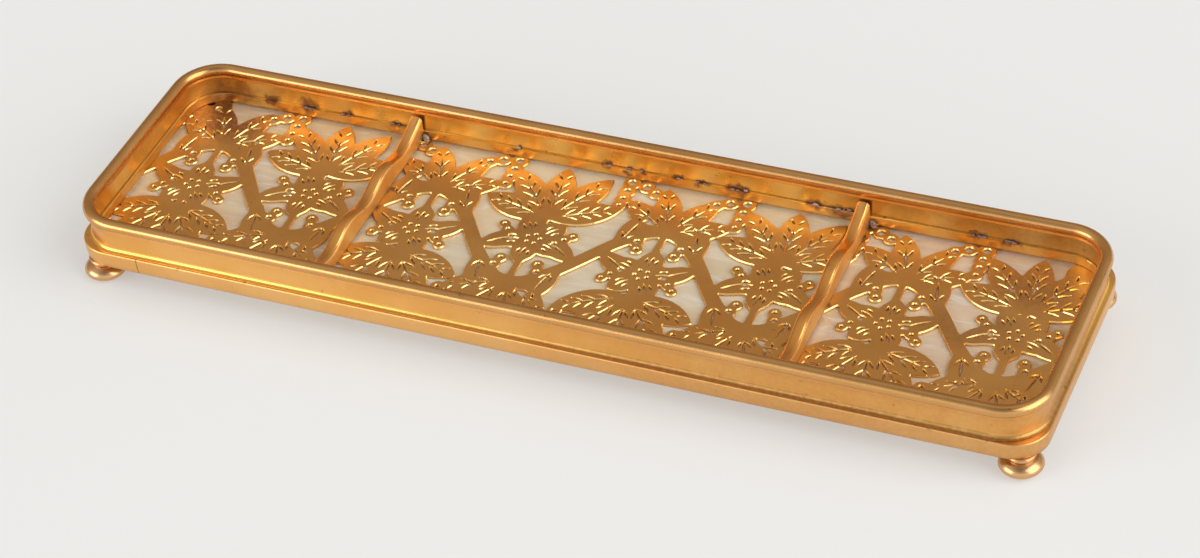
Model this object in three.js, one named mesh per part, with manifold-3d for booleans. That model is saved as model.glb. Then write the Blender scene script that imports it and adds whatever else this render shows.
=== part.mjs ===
// A long pen tray: a gilt frame with a rolled rim stands on a plain band and four bun feet.
// Its floor is a pierced metal sheet over opalescent glass, and two scalloped bars divide it in three.
// Units are millimetres. +X runs along the tray, +Y to the back, +Z up. The origin is on the surface
// that the tray stands on, under the middle of the tray.
import * as THREE from "three";
import { mergeVertices } from "three/addons/utils/BufferGeometryUtils.js";
import Module from "manifold-3d";

const wasm = await Module();
wasm.setup();

// Overall size, over the rolled rim
const trayLength = 250;
const trayWidth = 70;

// Frame: rolled rim, upright wall and the cove at its foot
const rimRadius = 1.6;
const rimCornerRadius = 12.3;
const wallInset = 1.3;
const wallThickness = 1.4;
const wallRise = 8.25;
const coveInset = 0.35;
const coveRise = 1.4;
const coveLip = 0.25;

// Band: one strip bent round, its ends meeting at a butt seam in the front side
const bandInset = 0.05;
const bandHeight = 4.7;
const bandThickness = 1.9;
const bandCornerRadius = 9;
const bandEdgeRadius = 0.45;
const bandTaper = 0.3;
const bandTaperHeight = 3.2;
const buttSeamWidth = 0.15;
const buttSeamFromEnd = 18.4;

// Floor stack inside the band, from below: plate, glass, pierced sheet
const plateThickness = 0.8;
const glassThickness = 2.2;
const sheetThickness = 0.8;
const fitGap = 0.05;
const glassJointGap = 0.4;

// Strip that holds the pierced sheet down along the wall
const stripThickness = 0.5;
const stripHeight = 2.7;

// Dividers
const dividerSpacing = 120.6;
const dividerThickness = 3.4;
const dividerPeak = 5.7;
const dividerDip = 2;
const dividerEdgeRadius = 0.7;
const dividerCrown = 0.2;
const dividerDips = 3;
const dividerEndGap = 0.1;
const dividerEndRise = 0.9;
const dividerEndReach = 4;

// Solder fillets in the corners between dividers and strip
const solderLeg = 1.9;
const solderHeight = 2.2;
const solderHollowShare = 0.25;

// Feet and the screws that hold them
const footHeight = 6;
const footEndInset = 6;
const footSideInset = 4.7;
const bunRadius = 5.4;
const bunWaistHeight = 1.95;
const footPadRadius = 2.5;
const bunShoulderRadius = 3.8;
const neckRadius = 3.1;
const neckRise = 0.35;
const flangeRadius = 3.7;
const screwShankRadius = 1;
const screwBoreClearance = 0.2;
const screwHeadRadius = 1.6;
const screwHeadHeight = 1.3;
const screwSlotWidth = 0.5;
const screwSlotDepth = 0.6;
const screwReach = 3.6;
const boreTipRoom = 0.5;
const glassClearance = 0.5;

// Ornament of the pierced sheet: a waving stem with a blossom and two fans of leaves at each turn,
// and a plain rosette in each corner, where the glass under it is clipped.
// It is drawn for turns of one length and for one width, and stretched to the sheet it goes into.
// Angles are in radians. A string of rings holds its first ring's place, as shares of a turn's
// length and of half the drawn width, the way it runs, its count and its first ring's size share.
const stemTurns = 8;
const drawnTurnLength = 30.75;
const drawnWidth = 66;
const borderWidth = 2.3;
const stemSwing = 14;
const stemHalfWidth = 1.9;
const joinSoftness = 0.9;
const blossomDrop = 2.5;
const blossomEyeRadius = 3.6;
const petalCount = 5;
const petalLength = 9.4;
const petalWidth = 6.6;
const stalkHalfWidth = 0.9;
const innerFanDrop = 10.9;
const innerFanLength = 20.5;
const innerFanWidth = 8.4;
const outerFanLength = 17.2;
const outerFanWidth = 7.2;
const upperLeafLength = 15;
const lowerLeafLength = 12.5;
const sideLeafWidth = 6.2;
const seedRingRadius = 2.1;
const seedRingWall = 0.95;
const ringOverlap = 0.6;
const ringTaperShare = 0.92;
const rosetteInset = 5.2;
const rosetteRadius = 5.4;
const midribWidth = 0.9;
const midribStartShare = 0.2;
const midribLengthShare = 0.5;
const tiltShares = [0, 0.12, -0.08, 0.1, -0.1, 0.08, -0.12, 0.05];
const innerFanShares = [[0, 1], [0.6, 1.07], [-0.6, 1.07], [1.2, 0.92], [-1.2, 0.92]];
const outerFanShares = [[0.42, 1.02], [-0.42, 1.02], [1.06, 0.97], [-1.06, 0.97]];
const upperLeafShares = [0.33, 0.16, 0.22];
const lowerLeafShares = [0.415, 0.093, 2.165];
const ringStringShares = [
  [0.186, -0.068, -0.85, 3, 0.83],
  [0.187, 0.273, -1.87, 2, 0.86],
  [0.362, 0.896, -2.65, 2, 1],
  [0.5, 0.918, -Math.PI / 2, 4, 1],
  [0.5, -0.918, Math.PI / 2, 4, 1],
];
const leastOpeningArea = 5.2;
const outlineTolerance = 0.3;
const cornerClearanceShare = 0.08;

// Counts of steps in curves, and one overrun for all cuts
const cornerSteps = 6;
const rimSteps = 12;
const edgeSteps = 3;
const coveSteps = 4;
const turnedSteps = 18;
const bunSteps = 3;
const dividerSteps = 24;
const fieldColumns = 400;
const cutOverrun = 1;

// Heights that follow from the sizes above
const bandTop = footHeight + bandHeight;
const plateTop = footHeight + plateThickness;
const glassBottom = plateTop + fitGap;
const glassTop = glassBottom + glassThickness;
const sheetBottom = glassTop + fitGap;
const sheetTop = sheetBottom + sheetThickness;
const frameBottom = bandTop + fitGap;
const rimCentreHeight = frameBottom + wallRise;

// Insets from the rim's outer edge
const wallInnerInset = wallInset + wallThickness;
const bandInnerInset = bandInset + bandThickness;
const stackInset = bandInnerInset + fitGap;
const stripOuterInset = Math.max(wallInnerInset, bandInnerInset) + fitGap;
const stripInnerInset = stripOuterInset + stripThickness;
const sheetLength = trayLength - 2 * stackInset;
const sheetWidth = trayWidth - 2 * stackInset;
const stackCornerRadius = Math.max(bandCornerRadius - bandThickness - fitGap, fitGap);
const footX = trayLength / 2 - footEndInset;
const footY = trayWidth / 2 - footSideInset;
const footPlaces = [[-footX, -footY], [footX, -footY], [-footX, footY], [footX, footY]];

const gilt = { roughness: 0.34, metalness: 1 };

function giltMaterial(color) {
  return new THREE.MeshStandardMaterial({ color, ...gilt });
}

// A closed mesh with shared vertices and positions only, as manifold-3d takes it.
function toSolid(geometry) {
  const bare = geometry.clone();
  bare.deleteAttribute("normal");
  bare.deleteAttribute("uv");
  const merged = mergeVertices(bare);
  return new wasm.Manifold(
    new wasm.Mesh({
      numProp: 3,
      vertProperties: new Float32Array(merged.attributes.position.array),
      triVerts: new Uint32Array(merged.index.array),
    }),
  );
}

function toGeometry(solid) {
  const mesh = solid.getMesh();
  const geometry = new THREE.BufferGeometry();
  geometry.setAttribute("position", new THREE.BufferAttribute(mesh.vertProperties, 3));
  geometry.setIndex(new THREE.BufferAttribute(mesh.triVerts, 1));
  geometry.computeVertexNormals();
  return geometry;
}

function cut(geometry, ...tools) {
  const rest = tools.reduce((solid, tool) => solid.subtract(toSolid(tool)), toSolid(geometry));
  return toGeometry(rest);
}

// Points round a rounded rectangle, counterclockwise from above, each with its outward direction.
function roundedRectangle(length, width, radius) {
  const points = [];
  const corners = [
    [1, -1, -Math.PI / 2],
    [1, 1, 0],
    [-1, 1, Math.PI / 2],
    [-1, -1, Math.PI],
  ];
  for (const [sideX, sideY, start] of corners) {
    for (let step = 0; step <= cornerSteps; step++) {
      const angle = start + ((Math.PI / 2) * step) / cornerSteps;
      const outward = new THREE.Vector2(Math.cos(angle), Math.sin(angle));
      const centre = new THREE.Vector2(sideX * (length / 2 - radius), sideY * (width / 2 - radius));
      points.push({ place: centre.addScaledVector(outward, radius), outward });
    }
  }
  return points;
}

// Skins a row of rings, each the same number of points. A closed row ends where it starts,
// and an open row gets a flat cap at each end.
function skinRings(rings, closed) {
  const count = rings[0].length;
  const index = [];
  const spans = closed ? rings.length : rings.length - 1;
  for (let ring = 0; ring < spans; ring++) {
    const here = ring * count;
    const there = ((ring + 1) % rings.length) * count;
    for (let point = 0; point < count; point++) {
      const next = (point + 1) % count;
      index.push(here + point, there + next, there + point);
      index.push(here + point, here + next, there + next);
    }
  }
  if (!closed) {
    const last = (rings.length - 1) * count;
    for (let point = 1; point < count - 1; point++) {
      index.push(0, point + 1, point);
      index.push(last, last + point, last + point + 1);
    }
  }
  const geometry = new THREE.BufferGeometry().setFromPoints(rings.flat());
  geometry.setIndex(index);
  geometry.computeVertexNormals();
  return geometry;
}

// Sweeps a section round a rounded rectangle. The section's points are [inset, height],
// the inset measured inwards from the rectangle.
function mouldingRound(section, length, width, radius) {
  const rings = roundedRectangle(length, width, radius).map(({ place, outward }) =>
    section.map(([inset, height]) => {
      const moved = place.clone().addScaledVector(outward, -inset);
      return new THREE.Vector3(moved.x, moved.y, height);
    }),
  );
  return skinRings(rings, true);
}

// Points of an arc in a section, by centre, two half axes and two angles, both ends included.
function arcPoints(centreInset, centreHeight, halfInset, halfHeight, from, to, steps) {
  return Array.from({ length: steps + 1 }, (_, step) => {
    const angle = from + ((to - from) * step) / steps;
    return [
      centreInset + halfInset * Math.cos(angle),
      centreHeight + halfHeight * Math.sin(angle),
    ];
  });
}

function slab(shape, bottom, thickness) {
  const geometry = new THREE.ExtrudeGeometry(shape, { depth: thickness, bevelEnabled: false });
  return geometry.translate(0, 0, bottom);
}

function roundedShape(length, width, radius) {
  return new THREE.Shape(roundedRectangle(length, width, radius).map(({ place }) => place));
}

function frameGeometry() {
  const innerReach = wallInnerInset - rimRadius;
  const outerReach = wallInset - rimRadius;
  const innerAngle = -Math.acos(innerReach / rimRadius);
  const outerAngle = Math.PI + Math.acos(-outerReach / rimRadius);
  const coveTop = frameBottom + coveLip + coveRise;
  const section = [
    [coveInset, frameBottom],
    [wallInnerInset, frameBottom],
    ...arcPoints(
      rimRadius, rimCentreHeight, rimRadius, rimRadius, innerAngle, outerAngle, rimSteps,
    ),
    ...arcPoints(
      coveInset, coveTop, wallInset - coveInset, coveRise, 0, -Math.PI / 2, coveSteps,
    ),
  ];
  return mouldingRound(section, trayLength, trayWidth, rimCornerRadius);
}

function bandGeometry() {
  const section = [
    [bandTaper, footHeight],
    [bandThickness, footHeight],
    [bandThickness, bandTop],
    ...arcPoints(
      bandEdgeRadius, bandTop - bandEdgeRadius, bandEdgeRadius, bandEdgeRadius,
      Math.PI / 2, Math.PI, edgeSteps,
    ),
    [0, footHeight + bandTaperHeight],
  ];
  const whole = mouldingRound(
    section, trayLength - 2 * bandInset, trayWidth - 2 * bandInset, bandCornerRadius,
  );
  const seam = new THREE.BoxGeometry(
    buttSeamWidth, bandThickness + 2 * cutOverrun, bandHeight + 2 * cutOverrun,
  );
  seam.translate(
    -trayLength / 2 + buttSeamFromEnd,
    -trayWidth / 2 + bandInset + bandThickness / 2,
    footHeight + bandHeight / 2,
  );
  return cut(whole, seam);
}

function stripGeometry() {
  const bottom = sheetTop + fitGap;
  const section = [
    [stripOuterInset, bottom],
    [stripInnerInset, bottom],
    [stripInnerInset, bottom + stripHeight],
    [stripOuterInset, bottom + stripHeight],
  ];
  return mouldingRound(section, trayLength, trayWidth, rimCornerRadius);
}

// Height of a divider's top above the sheet, at a place along it.
function dividerTop(along, span) {
  const turns = Math.cos((2 * Math.PI * dividerDips * along) / span);
  const nearEnd = (Math.abs(along) - span / 2) / dividerEndReach + 1;
  const rise = dividerEndRise * Math.max(nearEnd, 0) ** 2;
  return dividerPeak - (dividerDip * (1 + turns)) / 2 + rise;
}

function dividerGeometry(x) {
  const span = trayWidth - 2 * (stripInnerInset + dividerEndGap);
  const base = sheetTop + fitGap;
  const half = dividerThickness / 2;
  const rings = Array.from({ length: dividerSteps + 1 }, (_, step) => {
    const y = -span / 2 + (span * step) / dividerSteps;
    const top = base + dividerTop(y, span);
    const shoulder = top - dividerEdgeRadius;
    const right = arcPoints(
      half - dividerEdgeRadius, shoulder, dividerEdgeRadius, dividerEdgeRadius,
      0, Math.PI / 2, edgeSteps,
    );
    const left = right.map(([across, height]) => [-across, height]).reverse();
    const outline = [[-half, base], [half, base], ...right, [0, top + dividerCrown], ...left];
    return outline.map(([across, height]) => new THREE.Vector3(x + across, y, height));
  });
  return skinRings(rings.reverse(), false);
}

// A small wedge with a hollow face, in the corner between a divider's end and the strip.
function solderGeometry(x, side) {
  const cornerX = x + dividerThickness / 2 + fitGap;
  const cornerY = side * (trayWidth / 2 - stripInnerInset - fitGap);
  const hollow = solderLeg * solderHollowShare;
  const shape = new THREE.Shape();
  shape.moveTo(cornerX, cornerY);
  shape.lineTo(cornerX + solderLeg, cornerY);
  shape.quadraticCurveTo(
    cornerX + hollow, cornerY - side * hollow, cornerX, cornerY - side * solderLeg,
  );
  const geometry = new THREE.ExtrudeGeometry(shape, {
    depth: solderHeight, bevelEnabled: false, curveSegments: coveSteps,
  });
  return geometry.translate(0, 0, sheetTop + fitGap);
}

function turned(profile) {
  const points = profile.map(([radius, height]) => new THREE.Vector2(radius, height));
  return new THREE.LatheGeometry(points, turnedSteps).rotateX(Math.PI / 2);
}

// A bun foot: flat pad, bun, waisted neck and flange, with a blind bore from above for its screw.
function footGeometry(x, y) {
  const top = footHeight - fitGap;
  const padAngle = -Math.acos(footPadRadius / bunRadius);
  const shoulderAngle = Math.acos(bunShoulderRadius / bunRadius);
  const bunHalfHeight = bunWaistHeight / Math.sin(-padAngle);
  const shoulderHeight = bunWaistHeight + bunHalfHeight * Math.sin(shoulderAngle);
  const neckBottom = shoulderHeight + neckRise;
  const bore = screwShankRadius + screwBoreClearance;
  const boreBottom = top - screwReach - boreTipRoom;
  const profile = [
    [0, 0],
    ...arcPoints(0, bunWaistHeight, bunRadius, bunHalfHeight, padAngle, 0, bunSteps),
    ...arcPoints(0, bunWaistHeight, bunRadius, bunHalfHeight, 0, shoulderAngle, bunSteps).slice(1),
    ...arcPoints(
      flangeRadius, neckBottom, flangeRadius - neckRadius, top - neckBottom,
      Math.PI, Math.PI / 2, bunSteps,
    ),
    [bore, top],
    [bore, boreBottom],
    [0, boreBottom],
  ];
  return turned(profile).translate(x, y, 0);
}

function screwGeometry(x, y) {
  const seat = plateTop + fitGap;
  const profile = [
    [0, footHeight - screwReach],
    [screwShankRadius, footHeight - screwReach],
    [screwShankRadius, seat],
    [screwHeadRadius, seat],
    [screwHeadRadius, seat + screwHeadHeight],
    [0, seat + screwHeadHeight],
  ];
  const slot = new THREE.BoxGeometry(
    2 * (screwHeadRadius + cutOverrun), screwSlotWidth, screwSlotDepth + cutOverrun,
  );
  slot.translate(0, 0, seat + screwHeadHeight - screwSlotDepth / 2 + cutOverrun / 2);
  return cut(turned(profile), slot).translate(x, y, 0);
}

// The plate that the glass lies on, with a bore for each foot's screw.
function plateGeometry() {
  const plate = slab(
    roundedShape(sheetLength, sheetWidth, stackCornerRadius), footHeight, plateThickness,
  );
  const radius = screwShankRadius + screwBoreClearance;
  const bores = footPlaces.map(([x, y]) => {
    const bore = new THREE.CylinderGeometry(
      radius, radius, plateThickness + 2 * cutOverrun, turnedSteps,
    );
    return bore.rotateX(Math.PI / 2).translate(x, y, footHeight + plateThickness / 2);
  });
  return cut(plate, ...bores);
}

// A glass panel between two places along the tray. At the tray's ends its corners are clipped
// straight, clear of the screw heads.
function glassGeometry(from, to) {
  const back = sheetWidth / 2;
  const screwInsets = sheetLength / 2 - footX + back - footY;
  const clip = screwInsets + Math.SQRT2 * (screwHeadRadius + glassClearance);
  const clipFrom = from <= -sheetLength / 2 ? clip : 0;
  const clipTo = to >= sheetLength / 2 ? clip : 0;
  const points = [
    [from + clipFrom, -back],
    [to - clipTo, -back],
    [to, -back + clipTo],
    [to, back - clipTo],
    [to - clipTo, back],
    [from + clipFrom, back],
    [from, back - clipFrom],
    [from, -back + clipFrom],
  ].map(([x, y]) => new THREE.Vector2(x, y));
  const outline = points.filter((point, at) => !point.equals(points[(at + 1) % points.length]));
  return slab(new THREE.Shape(outline), glassBottom, glassThickness);
}

// The ornament is drawn as distances: each motif is a function of place, below zero inside it.
function disc(cx, cy, radius) {
  return (x, y) => Math.hypot(x - cx, y - cy) - radius;
}

// A pointed oval that starts at a base point and runs out at an angle.
function leaf(baseX, baseY, angle, length, width) {
  const cx = baseX + (Math.cos(angle) * length) / 2;
  const cy = baseY + (Math.sin(angle) * length) / 2;
  const radius = (length * length + width * width) / (4 * width);
  return (x, y) => {
    const along = (x - cx) * Math.cos(angle) + (y - cy) * Math.sin(angle);
    const across = (y - cy) * Math.cos(angle) - (x - cx) * Math.sin(angle);
    return Math.hypot(along, Math.abs(across) + radius - width / 2) - radius;
  };
}

function rod(ax, ay, bx, by, halfWidth) {
  const lengthSquared = (bx - ax) ** 2 + (by - ay) ** 2;
  return (x, y) => {
    const along = ((x - ax) * (bx - ax) + (y - ay) * (by - ay)) / lengthSquared;
    const share = THREE.MathUtils.clamp(along, 0, 1);
    return Math.hypot(x - ax - (bx - ax) * share, y - ay - (by - ay) * share) - halfWidth;
  };
}

// The stem swings once to the back and once to the front over two turns.
function wavingStem(x, y) {
  const phase = (Math.PI * (x + ((stemTurns - 1) / 2) * drawnTurnLength)) / drawnTurnLength;
  const slope = ((stemSwing * Math.PI) / drawnTurnLength) * Math.sin(phase);
  return Math.abs(y - stemSwing * Math.cos(phase)) / Math.hypot(1, slope) - stemHalfWidth;
}

// What grows on one turn of the stem. Even turns rise to the back and odd ones to the front, so
// each is drawn in its own axes: u along the tray from the turn's middle, v towards its crest.
function addTurn(turn, metal, open) {
  const middle = (turn - (stemTurns - 1) / 2) * drawnTurnLength;
  const side = turn % 2 === 0 ? 1 : -1;
  const up = Math.PI / 2 + tiltShares[turn % tiltShares.length];
  const addLeaf = (u, v, angle, length, width) => {
    const ribU = u + Math.cos(angle) * length * midribStartShare;
    const ribV = v + Math.sin(angle) * length * midribStartShare;
    const ribLength = length * midribLengthShare;
    metal.push(leaf(middle + u, side * v, side * angle, length, width));
    open.push(leaf(middle + ribU, side * ribV, side * angle, ribLength, midribWidth));
  };

  for (let petal = 0; petal < petalCount; petal++) {
    const angle = side * (up + (2 * Math.PI * petal) / petalCount);
    metal.push(leaf(middle, -side * blossomDrop, angle, petalLength, petalWidth));
  }
  metal.push(disc(middle, -side * blossomDrop, blossomEyeRadius));
  metal.push(rod(middle, side * stemSwing, middle, -side * innerFanDrop, stalkHalfWidth));
  for (const [angle, lengthShare] of innerFanShares) {
    addLeaf(0, -innerFanDrop, angle - up, innerFanLength * lengthShare, innerFanWidth);
  }
  for (const [angle, lengthShare] of outerFanShares) {
    addLeaf(0, stemSwing, angle + up, outerFanLength * lengthShare, outerFanWidth);
  }
  for (const flank of [-1, 1]) {
    for (const [shares, length] of [
      [upperLeafShares, upperLeafLength],
      [lowerLeafShares, lowerLeafLength],
    ]) {
      const [alongShare, acrossShare, angle] = shares;
      const u = flank * alongShare * drawnTurnLength;
      addLeaf(u, (acrossShare * drawnWidth) / 2, Math.PI / 2 + flank * angle, length, sideLeafWidth);
    }
    for (const [alongShare, acrossShare, angle, count, sizeShare] of ringStringShares) {
      let u = alongShare * drawnTurnLength;
      let v = (acrossShare * drawnWidth) / 2;
      let radius = seedRingRadius * sizeShare;
      for (let ring = 0; ring < count; ring++) {
        metal.push(disc(middle + flank * u, side * v, radius));
        open.push(disc(middle + flank * u, side * v, radius - seedRingWall));
        const reach = radius + radius * ringTaperShare - ringOverlap;
        u += Math.cos(angle) * reach;
        v += Math.sin(angle) * reach;
        radius *= ringTaperShare;
      }
    }
  }
}

// Flows one distance into another, so that motifs join with a small round instead of a notch.
function flowTogether(here, there) {
  const share = THREE.MathUtils.clamp(0.5 + (here - there) / (2 * joinSoftness), 0, 1);
  return here + (there - here) * share - joinSoftness * share * (1 - share);
}

// How far a point lies inside the sheet's rounded outline.
function sheetEdgeDistance(x, y) {
  const pastX = Math.abs(x) - (sheetLength / 2 - stackCornerRadius);
  const pastY = Math.abs(y) - (sheetWidth / 2 - stackCornerRadius);
  const beyond = Math.hypot(Math.max(pastX, 0), Math.max(pastY, 0));
  return stackCornerRadius - beyond - Math.min(Math.max(pastX, pastY), 0);
}

// The ornament sampled on a square grid over the sheet: below zero is metal, above zero is open.
function sampleOrnament() {
  const metal = [wavingStem];
  const open = [];
  for (let turn = 0; turn < stemTurns; turn++) addTurn(turn, metal, open);
  const cornerX = (stemTurns * drawnTurnLength) / 2 - rosetteInset;
  const cornerY = drawnWidth / 2 - rosetteInset;
  for (const [x, y] of [[1, 1], [-1, 1], [-1, -1], [1, -1]]) {
    metal.push(disc(x * cornerX, y * cornerY, rosetteRadius));
  }
  const step = sheetLength / fieldColumns;
  const columns = fieldColumns + 1;
  const rows = 2 * Math.ceil(sheetWidth / 2 / step) + 1;
  const values = new Float64Array(columns * rows);
  const stretchX = sheetLength / (stemTurns * drawnTurnLength);
  const stretchY = sheetWidth / drawnWidth;
  for (let row = 0; row < rows; row++) {
    const y = (row - (rows - 1) / 2) * step;
    for (let column = 0; column < columns; column++) {
      const x = (column - (columns - 1) / 2) * step;
      const border = sheetEdgeDistance(x, y) - borderWidth;
      const at = [x / stretchX, y / stretchY];
      const solid = metal.reduce((here, motif) => flowTogether(here, motif(...at)), border);
      const hole = open.reduce((here, motif) => Math.min(here, motif(...at)), sheetLength);
      values[row * columns + column] = Math.min(Math.max(solid, -hole), border);
    }
  }
  return { values, columns, rows, step, leastArea: leastOpeningArea * stretchX * stretchY };
}

// Walks the zero line of the grid cell by cell, with the open side on the left. Each crossing of a
// grid edge leads to one next crossing, so following them closes every outline. Crossings keep
// clear of the grid's own corners, so that no two outlines touch.
function traceOutlines({ values, columns, rows, step }) {
  const next = new Map();
  for (let row = 0; row < rows - 1; row++) {
    for (let column = 0; column < columns - 1; column++) {
      const at = row * columns + column;
      const corners = [at, at + 1, at + columns + 1, at + columns];
      const edges = [2 * at, 2 * (at + 1) + 1, 2 * (at + columns), 2 * at + 1];
      const isOpen = corners.map((corner) => values[corner] > 0);
      const starts = [];
      const ends = [];
      edges.forEach((edge, k) => {
        if (isOpen[k] && !isOpen[(k + 1) % 4]) starts.push(edge);
        if (!isOpen[k] && isOpen[(k + 1) % 4]) ends.push(edge);
      });
      const mean = corners.reduce((sum, corner) => sum + values[corner], 0);
      if (starts.length === 2 && (mean > 0) !== isOpen[0]) ends.reverse();
      starts.forEach((edge, k) => next.set(edge, ends[k]));
    }
  }
  const crossing = (edge) => {
    const from = Math.floor(edge / 2);
    const to = edge % 2 ? from + columns : from + 1;
    const exact = values[from] / (values[from] - values[to]);
    const share = THREE.MathUtils.clamp(exact, cornerClearanceShare, 1 - cornerClearanceShare);
    const column = (from % columns) + (edge % 2 ? 0 : share);
    const row = Math.floor(from / columns) + (edge % 2 ? share : 0);
    return new THREE.Vector2(
      (column - (columns - 1) / 2) * step,
      (row - (rows - 1) / 2) * step,
    );
  };
  const outlines = [];
  while (next.size) {
    const points = [];
    let edge = next.keys().next().value;
    while (next.has(edge)) {
      points.push(crossing(edge));
      const following = next.get(edge);
      next.delete(edge);
      edge = following;
    }
    outlines.push(points);
  }
  return outlines;
}

// Keeps only the points that a line needs to stay within the tolerance of where it ran.
function thinLine(points, tolerance) {
  const first = points[0];
  const last = points[points.length - 1];
  const chord = last.clone().sub(first);
  let farthest = 0;
  let most = tolerance;
  points.forEach((point, at) => {
    const reach = point.clone().sub(first);
    const away = chord.length() > 0 ? Math.abs(chord.cross(reach)) / chord.length() : reach.length();
    if (away > most) {
      farthest = at;
      most = away;
    }
  });
  if (farthest === 0) return [first, last];
  const before = thinLine(points.slice(0, farthest + 1), tolerance);
  return [...before, ...thinLine(points.slice(farthest), tolerance).slice(1)];
}

function linesCross(a, b, c, d) {
  const side = (from, to, point) => Math.sign(to.clone().sub(from).cross(point.clone().sub(from)));
  return side(a, b, c) !== side(a, b, d) && side(c, d, a) !== side(c, d, b);
}

function crossesItself(points) {
  const count = points.length;
  for (let k = 0; k < count - 2; k++) {
    for (let at = k + 2; at < (k === 0 ? count - 1 : count); at++) {
      if (linesCross(points[k], points[k + 1], points[at], points[(at + 1) % count])) return true;
    }
  }
  return false;
}

// Thins a closed outline as two lines, from its lowest point to the point farthest from that.
// A narrow tip that would fold over itself is thinned more gently.
function thinOutline(points, tolerance) {
  const reaches = points.map((point) => point.distanceTo(points[0]));
  const farthest = reaches.indexOf(Math.max(...reaches));
  const there = thinLine(points.slice(0, farthest + 1), tolerance);
  const back = thinLine([...points.slice(farthest), points[0]], tolerance);
  const thinned = [...there.slice(0, -1), ...back.slice(0, -1)];
  return crossesItself(thinned) ? thinOutline(points, tolerance / 2) : thinned;
}

// The sheet with every opening of the ornament cut through it. The smallest openings, by their size
// as drawn before the stretch, are left solid, and so are loose scraps of metal inside an opening,
// whose outlines run the other way round.
function sheetGeometry() {
  const shape = roundedShape(sheetLength, sheetWidth, stackCornerRadius);
  const ornament = sampleOrnament();
  const openings = traceOutlines(ornament)
    .filter((points) => THREE.ShapeUtils.area(points) > ornament.leastArea)
    .map((points) => thinOutline(points, outlineTolerance));
  const tools = openings.map((points) =>
    slab(new THREE.Shape(points), sheetBottom - cutOverrun, sheetThickness + 2 * cutOverrun),
  );
  return cut(slab(shape, sheetBottom, sheetThickness), ...tools);
}

const tray = new THREE.Group();

function addPiece(name, geometry, material) {
  const mesh = new THREE.Mesh(geometry, material);
  mesh.name = name;
  tray.add(mesh);
}

addPiece("gallery_frame", frameGeometry(), giltMaterial(0xd9a04e));
addPiece("base_band", bandGeometry(), giltMaterial(0xd6a25a));
addPiece("retaining_strip", stripGeometry(), giltMaterial(0xd8923a));
addPiece("pierced_sheet", sheetGeometry(), giltMaterial(0xa8703a));
addPiece("bottom_plate", plateGeometry(), giltMaterial(0xb98d4d));

const glassColors = { glass_left: 0xdccfb8, glass_centre: 0xd8cdb0, glass_right: 0xd6bba6 };
const joint = dividerSpacing / 2;
const glassSpans = {
  glass_left: [-sheetLength / 2, -joint - glassJointGap / 2],
  glass_centre: [-joint + glassJointGap / 2, joint - glassJointGap / 2],
  glass_right: [joint + glassJointGap / 2, sheetLength / 2],
};
for (const [name, [from, to]] of Object.entries(glassSpans)) {
  const material = new THREE.MeshStandardMaterial({
    color: glassColors[name], roughness: 0.15, metalness: 0,
  });
  addPiece(name, glassGeometry(from, to), material);
}

for (const [end, sideX] of [["left", -1], ["right", 1]]) {
  const dividerX = (sideX * dividerSpacing) / 2;
  addPiece(`divider_${end}`, dividerGeometry(dividerX), giltMaterial(0xcf9650));
  for (const [face, sideY] of [["front", -1], ["back", 1]]) {
    const place = `${face}_${end}`;
    const solderMaterial = new THREE.MeshStandardMaterial({
      color: 0x6f655c, roughness: 0.55, metalness: 0.8,
    });
    const screwMaterial = new THREE.MeshStandardMaterial({
      color: 0xb08a4a, roughness: 0.4, metalness: 1,
    });
    addPiece(`solder_${place}`, solderGeometry(dividerX, sideY), solderMaterial);
    addPiece(`foot_${place}`, footGeometry(sideX * footX, sideY * footY), giltMaterial(0xcf9250));
    addPiece(`foot_screw_${place}`, screwGeometry(sideX * footX, sideY * footY), screwMaterial);
  }
}

export default tray;
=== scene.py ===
# %% [markdown]
# # A gilt pen tray with a pierced floor
# The tray is a long open box of gilt bronze, about 250 mm by 70 mm. Its floor is a pierced gilt
# sheet over streaked glass, two wavy bars part it into three bays, and it stands on four bun feet.
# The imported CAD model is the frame. It stays fixed, and its boxes say how long the tray is, how
# high each layer lies and where the feet stand. This script builds the fine shapes, the finishes,
# the light and the camera around it. Lengths are written in millimetres and multiplied by one
# factor, because Blender's unit here is the metre.

# %% Load the frame
import math

import bpy
import numpy as np
from mathutils import Matrix, Vector


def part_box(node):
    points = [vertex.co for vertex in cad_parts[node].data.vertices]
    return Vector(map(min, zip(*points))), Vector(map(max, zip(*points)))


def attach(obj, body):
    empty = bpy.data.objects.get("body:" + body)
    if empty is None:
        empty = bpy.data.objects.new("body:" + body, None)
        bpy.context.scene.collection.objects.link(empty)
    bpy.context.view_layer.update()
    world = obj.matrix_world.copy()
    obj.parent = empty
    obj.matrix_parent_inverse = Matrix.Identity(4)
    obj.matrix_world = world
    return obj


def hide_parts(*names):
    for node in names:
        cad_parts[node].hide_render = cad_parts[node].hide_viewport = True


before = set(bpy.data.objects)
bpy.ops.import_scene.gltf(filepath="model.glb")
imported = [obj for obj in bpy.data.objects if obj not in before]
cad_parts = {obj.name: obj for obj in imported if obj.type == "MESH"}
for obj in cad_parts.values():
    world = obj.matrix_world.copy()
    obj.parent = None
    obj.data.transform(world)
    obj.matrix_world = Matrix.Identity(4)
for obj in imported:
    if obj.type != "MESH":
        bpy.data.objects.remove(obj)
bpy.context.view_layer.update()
mm = 0.001


def box_mm(node):
    """The lowest and the highest corner of a CAD node in mm, to a hundredth, as it was drawn."""
    return [[round(v / mm, 2) for v in corner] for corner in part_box(node)]


def size_mm(node):
    return [round(high - low, 2) for low, high in zip(*box_mm(node))]


def middle_mm(node):
    return [round((low + high) / 2, 2) for low, high in zip(*box_mm(node))]


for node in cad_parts:
    print(node, "at", middle_mm(node), "size", size_mm(node))

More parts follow.
